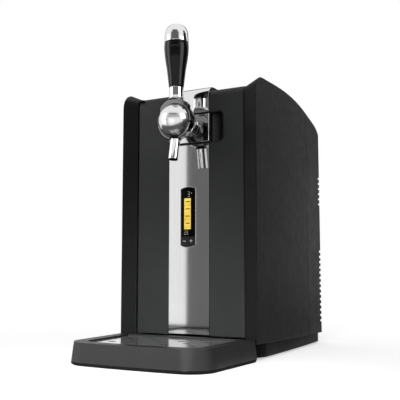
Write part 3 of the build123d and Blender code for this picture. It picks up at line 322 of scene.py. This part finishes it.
def add_lamp(name, place, target, size, watts):
    data = bpy.data.lights.new(name, "AREA")
    data.shape = "RECTANGLE"
    data.size, data.size_y = size
    data.energy = watts
    lamp = bpy.data.objects.new(name, data)
    lamp.location = place
    lamp.rotation_euler = (Vector(target) - Vector(place)).to_track_quat("-Z", "Y").to_euler()
    bpy.context.scene.collection.objects.link(lamp)
    return lamp


def stage_mesh(name, verts, faces, material):
    mesh = bpy.data.meshes.new(name)
    mesh.from_pydata(verts, [], faces)
    mesh.materials.append(material)
    obj = bpy.data.objects.new(name, mesh)
    bpy.context.scene.collection.objects.link(obj)
    return obj


def flat(x0, x1, y0, y1, z):
    """The corners of a level rectangle."""
    return [(x0, y0, z), (x1, y0, z), (x1, y1, z), (x0, y1, z)]


def add_floor():
    """A pale floor that meets the white background and keeps the object's shadow."""
    material = bpy.data.materials.new("floor")
    material.use_nodes = True
    tree = material.node_tree
    body = tree.nodes["Principled BSDF"]
    body.inputs["Base Color"].default_value = FLOOR_GREY
    body.inputs["Roughness"].default_value = 0.9
    body.inputs["Specular IOR Level"].default_value = 0.0
    body.inputs["Emission Color"].default_value = WHITE
    lift = tree.nodes.new("ShaderNodeMath")
    lift.operation = "MULTIPLY"
    lift.inputs[1].default_value = FLOOR_LIFT
    tree.links.new(seen_rays(tree, ("Is Glossy Ray",)), lift.inputs[0])
    tree.links.new(lift.outputs[0], body.inputs["Emission Strength"])
    r = FLOOR_REACH
    stage_mesh("floor", flat(-r, r, -r, r, 0), [(0, 1, 2, 3)], material)


def glow_material(name, level):
    material = bpy.data.materials.new(name)
    material.use_nodes = True
    tree = material.node_tree
    tree.nodes.remove(tree.nodes["Principled BSDF"])
    glow = tree.nodes.new("ShaderNodeEmission")
    glow.inputs["Color"].default_value = (*grey(level), 1)
    tree.links.new(glow.outputs[0], tree.nodes["Material Output"].inputs["Surface"])
    return material


def add_card(name, verts, faces, level):
    """Only mirrored in the object: it throws no light or shadow and isn't seen itself."""
    card = stage_mesh(name, verts, faces, glow_material(name, level))
    card.visible_camera = False
    card.visible_diffuse = False
    card.visible_shadow = False


def place_at(azimuth, distance):
    """A place on the floor, by its azimuth from the front (-Y) and its distance from the strip."""
    a = math.radians(azimuth)
    return distance * math.sin(a), FACE - distance * math.cos(a)


def add_arc_card(name, start, end, distance, low, high, level):
    """An upright card bent round the front of the object, between two azimuths."""
    verts, faces = [], []
    for i in range(ARC_STEPS + 1):
        x, y = place_at(start + (end - start) * i / ARC_STEPS, distance)
        verts += [(x, y, low), (x, y, high)]
    for i in range(ARC_STEPS):
        faces.append((2 * i, 2 * i + 2, 2 * i + 3, 2 * i + 1))
    add_card(name, verts, faces, level)


def add_cards():
    for name, values in ARC_CARDS.items():
        add_arc_card(name, *values)
    (x0, y0), (x1, y1) = SIDE_CARD
    upright = [(x0, y0, 0.0), (x1, y1, 0.0), (x1, y1, SIDE_CARD_TOP), (x0, y0, SIDE_CARD_TOP)]
    add_card("card_side", upright, [(0, 1, 2, 3)], SIDE_CARD_LEVEL)
    for name, limits in FLOOR_CARDS.items():
        add_card(name, flat(*limits, FLOOR_CARD_Z), [(0, 1, 2, 3)], FLOOR_CARD_LEVEL)


def add_studio():
    add_world()
    add_floor()
    add_lamp("key", (-1.4, -1.15, 0.2), (0, 0, 0.05), (1.0, 0.35), 1.1)
    add_lamp("fill", (0.2, -1.9, 0.12), (0, 0, 0.05), (0.5, 0.22), 1.7)
    low = add_lamp("low", (0.15, -0.95, 0.13), (0, -0.08, 0.03), (0.5, 0.08), 0.8)
    low.data.spread = math.radians(LOW_SPREAD)
    low.visible_glossy = False
    add_cards()


# ---------- meshes ----------
MERGE = 1e-7  # metres: closer points are one
CAD_MERGE = 2e-6
SHARP, CAD_SHARP = 40.0, 32.0  # degrees: an edge that turns by more is kept sharp
FLAT = 0.6  # degrees: CAD faces that turn by less are one


def piece(name, verts, faces, slot, body, stands_for=(), weighted=True):
    """A new piece from points in metres, smooth-shaded, riding on a body."""
    mesh = bpy.data.meshes.new(name)
    mesh.from_pydata([tuple(v) for v in verts], [], faces)
    work = bmesh.new()
    work.from_mesh(mesh)
    bmesh.ops.remove_doubles(work, verts=work.verts, dist=MERGE)
    bmesh.ops.recalc_face_normals(work, faces=work.faces)
    work.to_mesh(mesh)
    work.free()
    obj = finish_piece(name, mesh, slot, body, stands_for, SHARP)
    if weighted:
        even_normals(obj)
    return obj


def finish_piece(name, mesh, slot, body, stands_for, sharp):
    mesh.shade_smooth()
    mesh.set_sharp_from_angle(angle=math.radians(sharp))
    mesh.materials.clear()
    mesh.materials.append(MATERIALS[slot])
    obj = bpy.data.objects.new(name, mesh)
    bpy.context.scene.collection.objects.link(obj)
    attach(obj, body)
    if stands_for:
        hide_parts(*stands_for)
    return obj


def even_normals(obj):
    even = obj.modifiers.new("even", "WEIGHTED_NORMAL")
    even.keep_sharp = True


def dress(node, slot, body, bevel):
    """A finer copy of a CAD node: its flat faces whole, its edges broken with a small radius."""
    mesh = NODES[node].data.copy()
    work = bmesh.new()
    work.from_mesh(mesh)
    bmesh.ops.remove_doubles(work, verts=work.verts, dist=CAD_MERGE)
    bmesh.ops.dissolve_limit(
        work,
        angle_limit=math.radians(FLAT),
        verts=work.verts,
        edges=work.edges,
        delimit={"NORMAL"},
    )
    work.to_mesh(mesh)
    work.free()
    obj = finish_piece(f"{node}_shell", mesh, slot, body, (node,), CAD_SHARP)
    if bevel:
        soft = obj.modifiers.new("soft", "BEVEL")
        soft.width = bevel
        soft.segments = 2
        soft.limit_method = "ANGLE"
        soft.angle_limit = math.radians(CAD_SHARP)
        soft.use_clamp_overlap = True
        soft.miter_outer = "MITER_ARC"
    even_normals(obj)
    return obj


def paint(obj, material):
    """Another material than the slot's own."""
    obj.data.materials[0] = MATERIALS[material]


def paint_faces(obj, material, chosen):
    """A second material, on the faces that are chosen."""
    obj.data.materials.append(MATERIALS[material])
    for face in obj.data.polygons:
        if chosen(face.normal):
            face.material_index = 1


def arc(centre, radius, start, end, steps):
    """Points on a circle between two angles in degrees."""
    points = []
    for i in range(steps + 1):
        a = math.radians(start + (end - start) * i / steps)
        points.append((centre[0] + radius * math.cos(a), centre[1] + radius * math.sin(a)))
    return points


def soften(corners, steps=5):
    """A line of (a, b, radius) corners with each inner corner rounded by its radius."""
    points = []
    for i, (a, b, radius) in enumerate(corners):
        if i in (0, len(corners) - 1) or radius <= 0:
            points.append((a, b))
            continue
        here = Vector((a, b))
        back = (Vector(corners[i - 1][:2]) - here).normalized()
        on = (Vector(corners[i + 1][:2]) - here).normalized()
        half = back.angle(on) / 2
        centre = here + (back + on).normalized() * radius / math.sin(half)
        first = here + back * radius / math.tan(half) - centre
        last = here + on * radius / math.tan(half) - centre
        turn = first.angle_signed(last)
        for k in range(steps + 1):
            t = -turn * k / steps
            x = first.x * math.cos(t) - first.y * math.sin(t)
            y = first.x * math.sin(t) + first.y * math.cos(t)
            points.append((centre.x + x, centre.y + y))
    return points


def smooth_line(points, steps=8):
    """A smooth curve through points (Catmull-Rom)."""
    line = [Vector(p) for p in points]
    line = [2 * line[0] - line[1]] + line + [2 * line[-1] - line[-2]]
    result = []
    for i in range(1, len(line) - 2):
        p0, p1, p2, p3 = line[i - 1 : i + 3]
        for k in range(steps):
            t = k / steps
            q = 0.5 * (2 * p1 + (p2 - p0) * t + (2 * p0 - 5 * p1 + 4 * p2 - p3) * t**2)
            q += 0.5 * (3 * p1 - p0 - 3 * p2 + p3) * t**3
            result.append(tuple(q))
    result.append(tuple(line[-2]))
    return result


def bridge(loops, capped=False):
    """Quads between successive rings of equal length, and a face on each end where it is capped."""
    verts = [v for loop in loops for v in loop]
    n = len(loops[0])
    faces = []
    for i in range(len(loops) - 1):
        for j in range(n):
            k = (j + 1) % n
            faces.append((i * n + j, i * n + k, (i + 1) * n + k, (i + 1) * n + j))
    if capped:
        last = (len(loops) - 1) * n
        faces.append(tuple(range(n)))
        faces.append(tuple(range(last + n - 1, last - 1, -1)))
    return verts, faces


def turned(profile, origin, axis, steps=96):
    """A profile of (radius, distance along the axis), turned about an axis square to X."""
    along = Vector(axis).normalized()
    u = Vector((1, 0, 0))
    v = along.cross(u)
    loops = []
    for radius, distance in profile:
        ring = []
        for k in range(steps):
            a = 2 * math.pi * k / steps
            offset = u * (radius * math.cos(a)) + v * (radius * math.sin(a)) + along * distance
            ring.append(Vector(origin) + offset * MM)
        loops.append(ring)
    return bridge(loops)


def inset(points, distance):
    """A closed outline moved inwards by a distance (counter-clockwise outlines)."""
    result = []
    n = len(points)
    for i in range(n):
        before, here, after = (Vector(points[(i + k) % n]) for k in (-1, 0, 1))
        a = (here - before).normalized()
        b = (after - here).normalized()
        normal = Vector((-a.y - b.y, a.x + b.x)).normalized()
        stretch = max(0.4, normal.dot(Vector((-b.y, b.x))))
        result.append(tuple(here + normal * distance / stretch))
    return result


def plate(outline, place, near, far, edge):
    """A plate between two depths, with rounded edges; place(a, b, depth) says where a point is."""
    steps = [(edge, 0.0), (0.3 * edge, 0.3 * edge), (0.0, edge)]
    rows = [(back, near + deep) for back, deep in steps]
    rows += [(back, far - deep) for back, deep in reversed(steps)]
    rings = [[place(a, b, depth) for a, b in inset(outline, back)] for back, depth in rows]
    return bridge(rings, capped=True)


# ---------- tap ----------
# Lengths in millimetres from the ball's centre, along the axis of what is turned.
CHROME = "tap_chrome"
UP, AHEAD, BACK = (0, 0, 1), (0, -1, 0), (0, 1, 0)
BALL_R = 28.3
CUP_R = 31.3  # also the crescent's outer radius
LIP = 12.0  # how far back the shape of the cup's rim is followed
FLANGE_R, FLANGE_EDGE = 19.3, 0.5  # the cup's foot on the door
LEAN = math.radians(11.0)  # the spout's, forwards
DOWN = Vector((0, -math.sin(LEAN), -math.cos(LEAN)))
SPOUT = BALL + Vector((0, 0.006, 0))
SPOUT_R, MOUTH_R, CHANNEL_R = 8.3, 7.5, 5.6
SPOUT_TOP, SPOUT_END = 20.0, 66.9
MOUTH_TOP = 58.2  # where the channel widens to the mouth
COLLAR_R, COLLAR_TOP, COLLAR_END = 9.6, 28.3, 32.9
LEVER_AXIS = BALL + Vector((0, 0.0027, 0))
CREST = 6.8  # the centre of the crescent's crown above the ball's
SHOULDER = 26.0  # half the crown's width
ARM = 26.2  # half the width between the arms' tops
ARM_FOOT = -3.4
YOKE_HALF, YOKE_EDGE = 5.0, 0.7
NECK_R, RING_R = 11.8, 13.3
GRIP_FOOT, GRIP_LENGTH = 56.5, 77.8
KNOB_R, KNOB_LENGTH = 2.8, 2.2


def make_ball():
    profile = [(max(r, 0.0), t) for r, t in arc((0, 0), BALL_R, -90, 90, 72)]
    verts, faces = turned(profile, BALL, BACK, 128)
    paint(piece("tap_ball_skin", verts, faces, CHROME, "front_door", ("tap_ball",)), "ball_chrome")


def make_bore():
    """The spout's inside, lined in black: painted shade inside the bore."""
    profile = [(7.45, SPOUT_END - 0.4), (7.45, 59.0), (0.0, 59.0)]
    verts, faces = turned(profile, SPOUT, DOWN, 72)
    piece("spout_bore", verts, faces, "rubber", "front_door")


def cup_start(z):
    """How far forward the cup's rim reaches at a height: the lever's arms have the upper half."""
    if z < -5.5:
        return -5.0
    if z < -1.0:
        return math.sqrt(5.5**2 - z**2)
    return 5.6


def cup_lip(start):
    """The cup's rim from the inside out, where it starts so far behind the ball's centre."""
    inside = [(28.55, start + LIP), (28.55, start + 0.5), (28.8, start + 0.12), (29.3, start)]
    return inside + [(30.6, start), (31.12, start + 0.2), (CUP_R, start + 0.75)]


def make_cup():
    """Turned about Y, but the rim starts further back where the lever's arms are."""
    bowl = [(CUP_R, 4.0), (30.3, 11.5), (26.9, 18.0), (21.0, 24.3), (15.4, 29.0)]
    waist = [(15.4, 29.0), (15.0, 31.0), (15.2, 36.0), (16.4, 40.5), (19.0, 44.7)]
    outside = smooth_line(bowl, 8) + smooth_line(waist, 5)[1:]
    foot = BALL_AHEAD - FLANGE_EDGE
    outside += [(FLANGE_R, foot), (FLANGE_R, BALL_AHEAD), (10.0, BALL_AHEAD)]
    columns = []
    steps = 144
    for k in range(steps):
        a = 2 * math.pi * k / steps
        ca, sa = math.cos(a), math.sin(a)
        start = cup_start(CUP_R * sa)
        side = [(r, max(t, start + 0.9) if t < LIP else t) for r, t in outside]
        rows = cup_lip(start) + side
        columns.append([BALL + Vector((r * ca, t, r * sa)) * MM for r, t in rows])
    verts, faces = bridge(list(zip(*columns)))
    # The cup in the darker copy of the chrome: painted shade.
    paint(piece("tap_cup_skin", verts, faces, CHROME, "front_door", ("tap_cup",)), "dark_chrome")


def make_spout():
    mouth = [(MOUTH_R, MOUTH_TOP), (MOUTH_R, 66.6), (7.65, SPOUT_END), (8.1, SPOUT_END)]
    inside = [(CHANNEL_R, 30.0), (CHANNEL_R, 58.0)]
    outside = [(SPOUT_R, SPOUT_END - 0.4), (SPOUT_R, SPOUT_TOP), (CHANNEL_R, SPOUT_TOP)]
    profile = inside + mouth + outside + inside[:1]
    verts, faces = turned(profile, SPOUT, DOWN, 72)
    piece("spout_tube", verts, faces, CHROME, "front_door", ("spout",))
    inner = 8.2
    top = [(inner, COLLAR_TOP, 0), (COLLAR_R, COLLAR_TOP, 0.4)]
    ring = soften(top + [(COLLAR_R, COLLAR_END, 0.7), (inner, COLLAR_END, 0)])
    verts, faces = turned(ring + ring[:1], SPOUT, DOWN, 72)
    piece("spout_collar", verts, faces, "rubber", "front_door", ("spout_seal",))


def yoke_outline():
    """The crescent: counter-clockwise, seen from the front."""
    inner = arc((0, 0), 28.8, 180, 0, 60)
    shoulder = math.degrees(math.acos(SHOULDER / CUP_R))
    low = math.degrees(math.acos(ARM / CUP_R))
    right = arc((0, 0), CUP_R, -4.0, low, 12)
    crown = arc((0, CREST), CUP_R, shoulder, 180 - shoulder, 60)
    left = arc((0, 0), CUP_R, 180 - low, 184.0, 12)
    foot_left = [(-30.9, ARM_FOOT), (-29.4, ARM_FOOT)]
    foot_right = [(29.4, ARM_FOOT), (30.9, ARM_FOOT)]
    return inner + foot_right + right + crown + left + foot_left


def make_yoke():
    def place(x, z, y):
        return BALL + Vector((x, y, z)) * MM

    verts, faces = plate(yoke_outline(), place, -YOKE_HALF, YOKE_HALF, YOKE_EDGE)
    crescent = piece("lever_crescent", verts, faces, CHROME, "tap_lever", ("lever_yoke",))
    # The crescent in the darker copy of the chrome: painted shade.
    paint(crescent, "dark_chrome")


def crest_over(x):
    """The height of the crescent's top, kept level beyond the neck's ring."""
    return CREST + math.sqrt(CUP_R**2 - min(abs(x), RING_R) ** 2)


def make_neck():
    """Stem with a light ring at its foot, which follows the crescent's top."""
    on_crest = [(13.1, -0.6), (12.6, 0.2)]
    on_ring = [(RING_R, 0.5), (RING_R, 1.0), (13.05, 1.4), (12.3, 1.6), (NECK_R, 2.2)]
    on_axis = [(NECK_R, 45.0), (NECK_R, 56.1), (11.9, GRIP_FOOT)]
    ring_level = CREST + CUP_R - 0.4
    columns = []
    steps = 96
    for k in range(steps):
        a = 2 * math.pi * k / steps
        ca, sa = math.cos(a), math.sin(a)
        rows = [(r, crest_over(r * ca) + rise) for r, rise in on_crest]
        rows += [(r, max(crest_over(r * ca), ring_level) + rise) for r, rise in on_ring]
        rows += on_axis
        columns.append([LEVER_AXIS + Vector((r * ca, r * sa, z)) * MM for r, z in rows])
    verts, faces = bridge(list(zip(*columns)), capped=True)
    piece("lever_stem", verts, faces, CHROME, "tap_lever", ("lever_neck",))


def make_grip():
    top = GRIP_LENGTH
    side = smooth_line([(12.3, 0.0), (15.5, 28.0), (18.9, 49.8), (20.5, 66.9), (20.2, top)], 10)
    foot = [(0.0, 0.0), (11.3, 0.0), (12.0, 0.25), (12.35, 0.9)]
    profile = foot + side[1:-1] + [(20.25, 77.1), (20.1, 77.6), (19.6, top), (0.0, top)]
    origin = LEVER_AXIS + Vector((0, 0, GRIP_FOOT)) * MM
    verts, faces = turned(profile, origin, UP, 96)
    piece("lever_handle", verts, faces, "grip_plastic", "tap_lever", ("lever_grip",))
    dome = [(19.7, 13.2), (18.9, 19.2), (16.3, 24.8), (11.6, 29.0), (5.8, 31.1), (0.0, 31.5)]
    profile = [(0.0, 0.0), (19.4, 0.0), (20.0, 0.2), (20.2, 0.7), (20.05, 6.0)]
    profile += smooth_line(dome, 8)
    origin = LEVER_AXIS + Vector((0, 0, GRIP_FOOT + GRIP_LENGTH)) * MM
    verts, faces = turned(profile, origin, UP, 96)
    piece("handle_cap", verts, faces, CHROME, "tap_lever", ("grip_cap",))


def make_knob():
    """Just inside the crescent's right shoulder, on its front."""
    x = SHOULDER - KNOB_R - 0.6
    z = CREST + math.sqrt(CUP_R**2 - x**2) - KNOB_R
    origin = BALL + Vector((x, -YOKE_HALF, z)) * MM
    side = [(0, 0.1, 0), (KNOB_R, 0.1, 0), (KNOB_R, KNOB_LENGTH, 0.7), (0, KNOB_LENGTH, 0)]
    verts, faces = turned(soften(side), origin, AHEAD, 48)
    piece("lock_knob", verts, faces, "knob_plastic", "tap_lever", ("lever_lock_knob",))


def make_tap():
    make_ball()
    make_bore()
    make_cup()
    make_spout()
    make_yoke()
    make_neck()
    make_grip()
    make_knob()


# ---------- steel strip ----------
# Places are in millimetres: X from the middle, Y back from the cabinet's front rims, Z up.
STRIP_HALF = 38.5
STRIP_TOP, STRIP_END, STRIP_BACK = 456.5, 410.4, 49.0
STRIP_THICK = 1.2  # of its upright stretch
BEND_R, INNER_R = 18.0, 16.8
INNER_TOP = 448.8
# Edges along the seams: the height, in metres, that they are beyond, and how far they move up.
LOWER_STRIP_TOP = (0.3565, -1.1)
TAP_PLATE_TOP = (0.4078, -0.8)
TAP_PLATE_END = (0.3590, 1.0)


def at(x, y, z):
    return Vector((MM * x, MM * y + RIMS, MM * z))


def move_verts(obj, chosen, rise):
    for vert in obj.data.vertices:
        if chosen(vert.co.z):
            vert.co.z += rise * MM


def make_upper_strip():
    """It rolls back over the door's top."""
    inner_y = DOOR_FACE + STRIP_THICK
    outline = [(STRIP_BACK, STRIP_TOP)]
    outline += arc((DOOR_FACE + BEND_R, STRIP_TOP - BEND_R), BEND_R, 90, 180, 32)
    outline += [(DOOR_FACE, STRIP_END + 0.5), (DOOR_FACE + 0.4, STRIP_END), (inner_y, STRIP_END)]
    outline += arc((inner_y + INNER_R, INNER_TOP - INNER_R), INNER_R, 180, 90, 32)
    outline += [(STRIP_BACK, INNER_TOP)]

    def place(y, z, x):
        return at(x, y, z)

    verts, faces = plate(outline, place, -STRIP_HALF, STRIP_HALF, 0.5)
    piece("strip_over_the_top", verts, faces, "strip_steel", "front_door", ("strip_upper",))


def make_strip():
    """The steel strip's three stretches, with a dark seam below and above the tap plate."""
    make_upper_strip()
    lower = dress("strip_lower", "strip_steel", "front_door", 0.0005)
    height, rise = LOWER_STRIP_TOP
    move_verts(lower, lambda z: z > height, rise)
    tap_plate = dress("tap_plate", "strip_steel", "front_door", 0.0005)
    top, rise = TAP_PLATE_TOP
    move_verts(tap_plate, lambda z: z > top, rise)
    end, rise = TAP_PLATE_END
    move_verts(tap_plate, lambda z: z < end, rise)


# ---------- display ----------
WINDOW = 11.4  # the display's window, behind the rims
INLAY = 0.3  # how deep an inlay goes into the window
LEVEL_LEFT, LEVEL_RIGHT, SLOT_RIGHT = -8.4, 4.3, 5.4
LEVEL_END, LEVEL_TOP, SLOT_END = 211.3, 264.04, 209.4
DASHES, DASH_PITCH, DASH_TOP = 4, 12.26, 258.18
DASH_LEFT, DASH_RIGHT, DASH_HALF = -5.4, 2.4, 0.75
LINE_BELOW, LINE_WIDTH = 6.4, 0.53  # a thin line between two dashes, below the upper one

# Which of the seven bars are lit: top, upper left, upper right, middle, lower left, lower right,
# bottom.
DIGITS = {2: "1011101", 3: "1011011"}
# A digit's left side and foot, its width and height, and its bars' width.
DEGREES_SHAPE = (-1.6, 266.4, 3.6, 9.0, 0.7)
DEGREE_DOT = (4.6, 6.2), (271.6, 273.2)
TENS_SHAPE = (-8.2, 202.0, 3.0, 6.9, 0.55)
ONES_SHAPE = (-4.3, 202.0, 3.0, 6.9, 0.55)


def tablet(name, x, z, slot, body, proud, material=None, stands_for=()):
    """A flat inlay on the display, between two places in X and in Z, proud of its window."""
    y = (WINDOW - proud, WINDOW + INLAY)
    verts = [at(a, b, c) for a in x for b in y for c in z]
    faces = [(0, 1, 3, 2), (4, 6, 7, 5), (0, 4, 5, 1), (2, 3, 7, 6), (0, 2, 6, 4), (1, 5, 7, 3)]
    obj = piece(name, verts, faces, slot, body, stands_for, weighted=False)
    if material:
        paint(obj, material)


def add_digit(name, digit, x, z, width, height, line):
    """A digit in seven bars, its lower left corner at x, z."""
    left, right = (x, x + line), (x + width - line, x + width)
    whole = (x, x + width)
    top, middle = z + height, z + height / 2
    lower, upper = (z, middle), (middle, top)
    bars = (
        (whole, (top - line, top)),
        (left, upper),
        (right, upper),
        (whole, (middle - line / 2, middle + line / 2)),
        (left, lower),
        (right, lower),
        (whole, (z, z + line)),
    )
    for i, (bar, lit) in enumerate(zip(bars, DIGITS[digit])):
        if lit == "1":
            tablet(f"{name}_{i}", *bar, "display_black", "front_door", 0.04, "dim_glow")


def make_level():
    """The lit column of the level, with a dark dash on each of its marks."""
    black, guide, door = "display_black", "light_guide", "front_door"
    column = (LEVEL_LEFT, LEVEL_RIGHT)
    tablet("level_surround", (LEVEL_LEFT, SLOT_RIGHT), (SLOT_END, LEVEL_TOP), black, door, 0.02)
    standing_for = ("level_segments",)
    tablet("level_column", column, (LEVEL_END, LEVEL_TOP), guide, door, 0.05, None, standing_for)
    for i in range(DASHES):
        z = DASH_TOP - DASH_PITCH * i
        dash = (z - DASH_HALF, z + DASH_HALF)
        line = (z - LINE_BELOW, z - LINE_BELOW + LINE_WIDTH)
        dash_ends = (DASH_LEFT, DASH_RIGHT)
        tablet(f"level_dash_{i}", dash_ends, dash, black, door, 0.08, "dash_brown")
        tablet(f"level_line_{i}", column, line, guide, door, 0.08, "amber_line")


def make_keys():
    for side in ("minus", "plus"):
        paint(dress(f"{side}_button", "display_black", f"{side}_key", 0.0002), "key_black")
    signs = (
        ("minus_sign", (-11.2, -5.4), (190.5, 191.7), "minus_key", 0.04),
        ("plus_sign_across", (2.1, 7.7), (190.9, 192.1), "plus_key", 0.04),
        ("plus_sign_upright", (4.3, 5.5), (188.7, 194.3), "plus_key", 0.03),
    )
    for name, x, z, body, proud in signs:
        tablet(name, x, z, "display_black", body, proud, "key_mark")


def make_display():
    dress("display_bezel", "bezel_chrome", "front_door", 0.0003)
    dress("display_window", "display_black", "front_door", 0.0)
    make_level()
    add_digit("degrees", 3, *DEGREES_SHAPE)
    tablet("degree_dot", *DEGREE_DOT, "display_black", "front_door", 0.04, "dim_glow")
    add_digit("count_tens", 2, *TENS_SHAPE)
    add_digit("count_ones", 3, *ONES_SHAPE)
    make_keys()


# ---------- dressing ----------
TRAY_MIDDLE = Vector((0, -0.17, 0))
FOOT_HEIGHT, FOOT_BACK = 0.005, 0.003  # the tray's foot band, painted black as painted shadow and drawn in from its walls
ON_FLOOR = 0.0005

# Each moulded piece: its slot, its body and how far its sharp edges are broken, in metres.
SHELLS = {
    "door_panel_left": ("door_plastic", "front_door", 0.0006),
    "door_panel_right": ("door_plastic", "front_door", 0.0006),
    "left_side_panel": ("body_plastic", "cabinet", 0.0005),
    "right_side_panel": ("body_plastic", "cabinet", 0.0005),
    "rear_cover": ("body_plastic", "cabinet", 0.0004),
    "top_cover": ("body_plastic", "cabinet", 0.0006),
    "base_plinth": ("plinth_plastic", "cabinet", 0.0006),
    "finger_pocket": ("pocket_plastic", "front_door", 0.0004),
    "drip_tray": ("tray_plastic", "tray", 0.0009),
    "drip_grille": ("grille_steel", "grille", 0.0003),
}


def undercut_and_shadow_band(tray, height, back):
    """The tray's lowest band, drawn in a little from its outer walls and painted black: painted
    shadow where the tray stands on the floor.
    """
    mesh = tray.data
    work = bmesh.new()
    work.from_mesh(mesh)
    bmesh.ops.bisect_plane(
        work,
        geom=work.verts[:] + work.edges[:] + work.faces[:],
        plane_co=(0, 0, height),
        plane_no=(0, 0, 1),
        dist=1e-6,
    )

    def on_foot(face):
        centre = face.calc_center_median()
        outer = face.normal.dot(centre - TRAY_MIDDLE) > 0
        return centre.z < 0.9 * height and abs(face.normal.z) < 0.5 and outer

    foot = [face for face in work.faces if on_foot(face)]
    low = {v for face in foot for v in face.verts if v.co.z < ON_FLOOR}
    for vert in low:
        walls = [face.normal for face in vert.link_faces if face in foot]
        away = sum(walls, Vector()).normalized()
        away.z = 0
        vert.co -= away * back
    # painted shadow: the foot band in black
    mesh.materials.append(MATERIALS["rubber"])
    for face in foot:
        face.material_index = 1
    work.to_mesh(mesh)
    work.free()


def dress_shells():
    """The moulded pieces and the grille, with their sharp edges broken."""
    shells = {node: dress(node, *values) for node, values in SHELLS.items()}
    for side in ("left", "right"):
        # The sloping front rims are painted darker than the panel they belong to, with weaker
        # specular: painted shade for the dark bands the light leaves on them.
        paint_faces(shells[f"{side}_side_panel"], "rim_plastic", lambda normal: normal.y < -0.7)
    # The tray's foot band is drawn in and painted black as painted shadow.
    undercut_and_shadow_band(shells["drip_tray"], FOOT_HEIGHT, FOOT_BACK)
    # The slots' walls are painted black: painted shade inside the slots.
    paint_faces(shells["drip_grille"], "rubber", lambda normal: abs(normal.z) < 0.3)


def paint_nodes():
    """Every CAD node in its own slot's material, but the hinge, seen in the open gap, is painted
    black: painted shade in the gap.
    """
    slot_of = {sub["node"]: sub["material_slot"] for sub in frame["record"]["subparts"]}
    for name, node in NODES.items():
        node.data.materials.clear()
        node.data.materials.append(MATERIALS[slot_of[name]])
    for name in ("lower_hinge_bracket", "upper_hinge_bracket", "hinge_pins"):
        paint(NODES[name], "black_steel")


add_camera()
add_studio()
MATERIALS = make_materials()
paint_nodes()
make_tap()
make_strip()
make_display()
dress_shells()
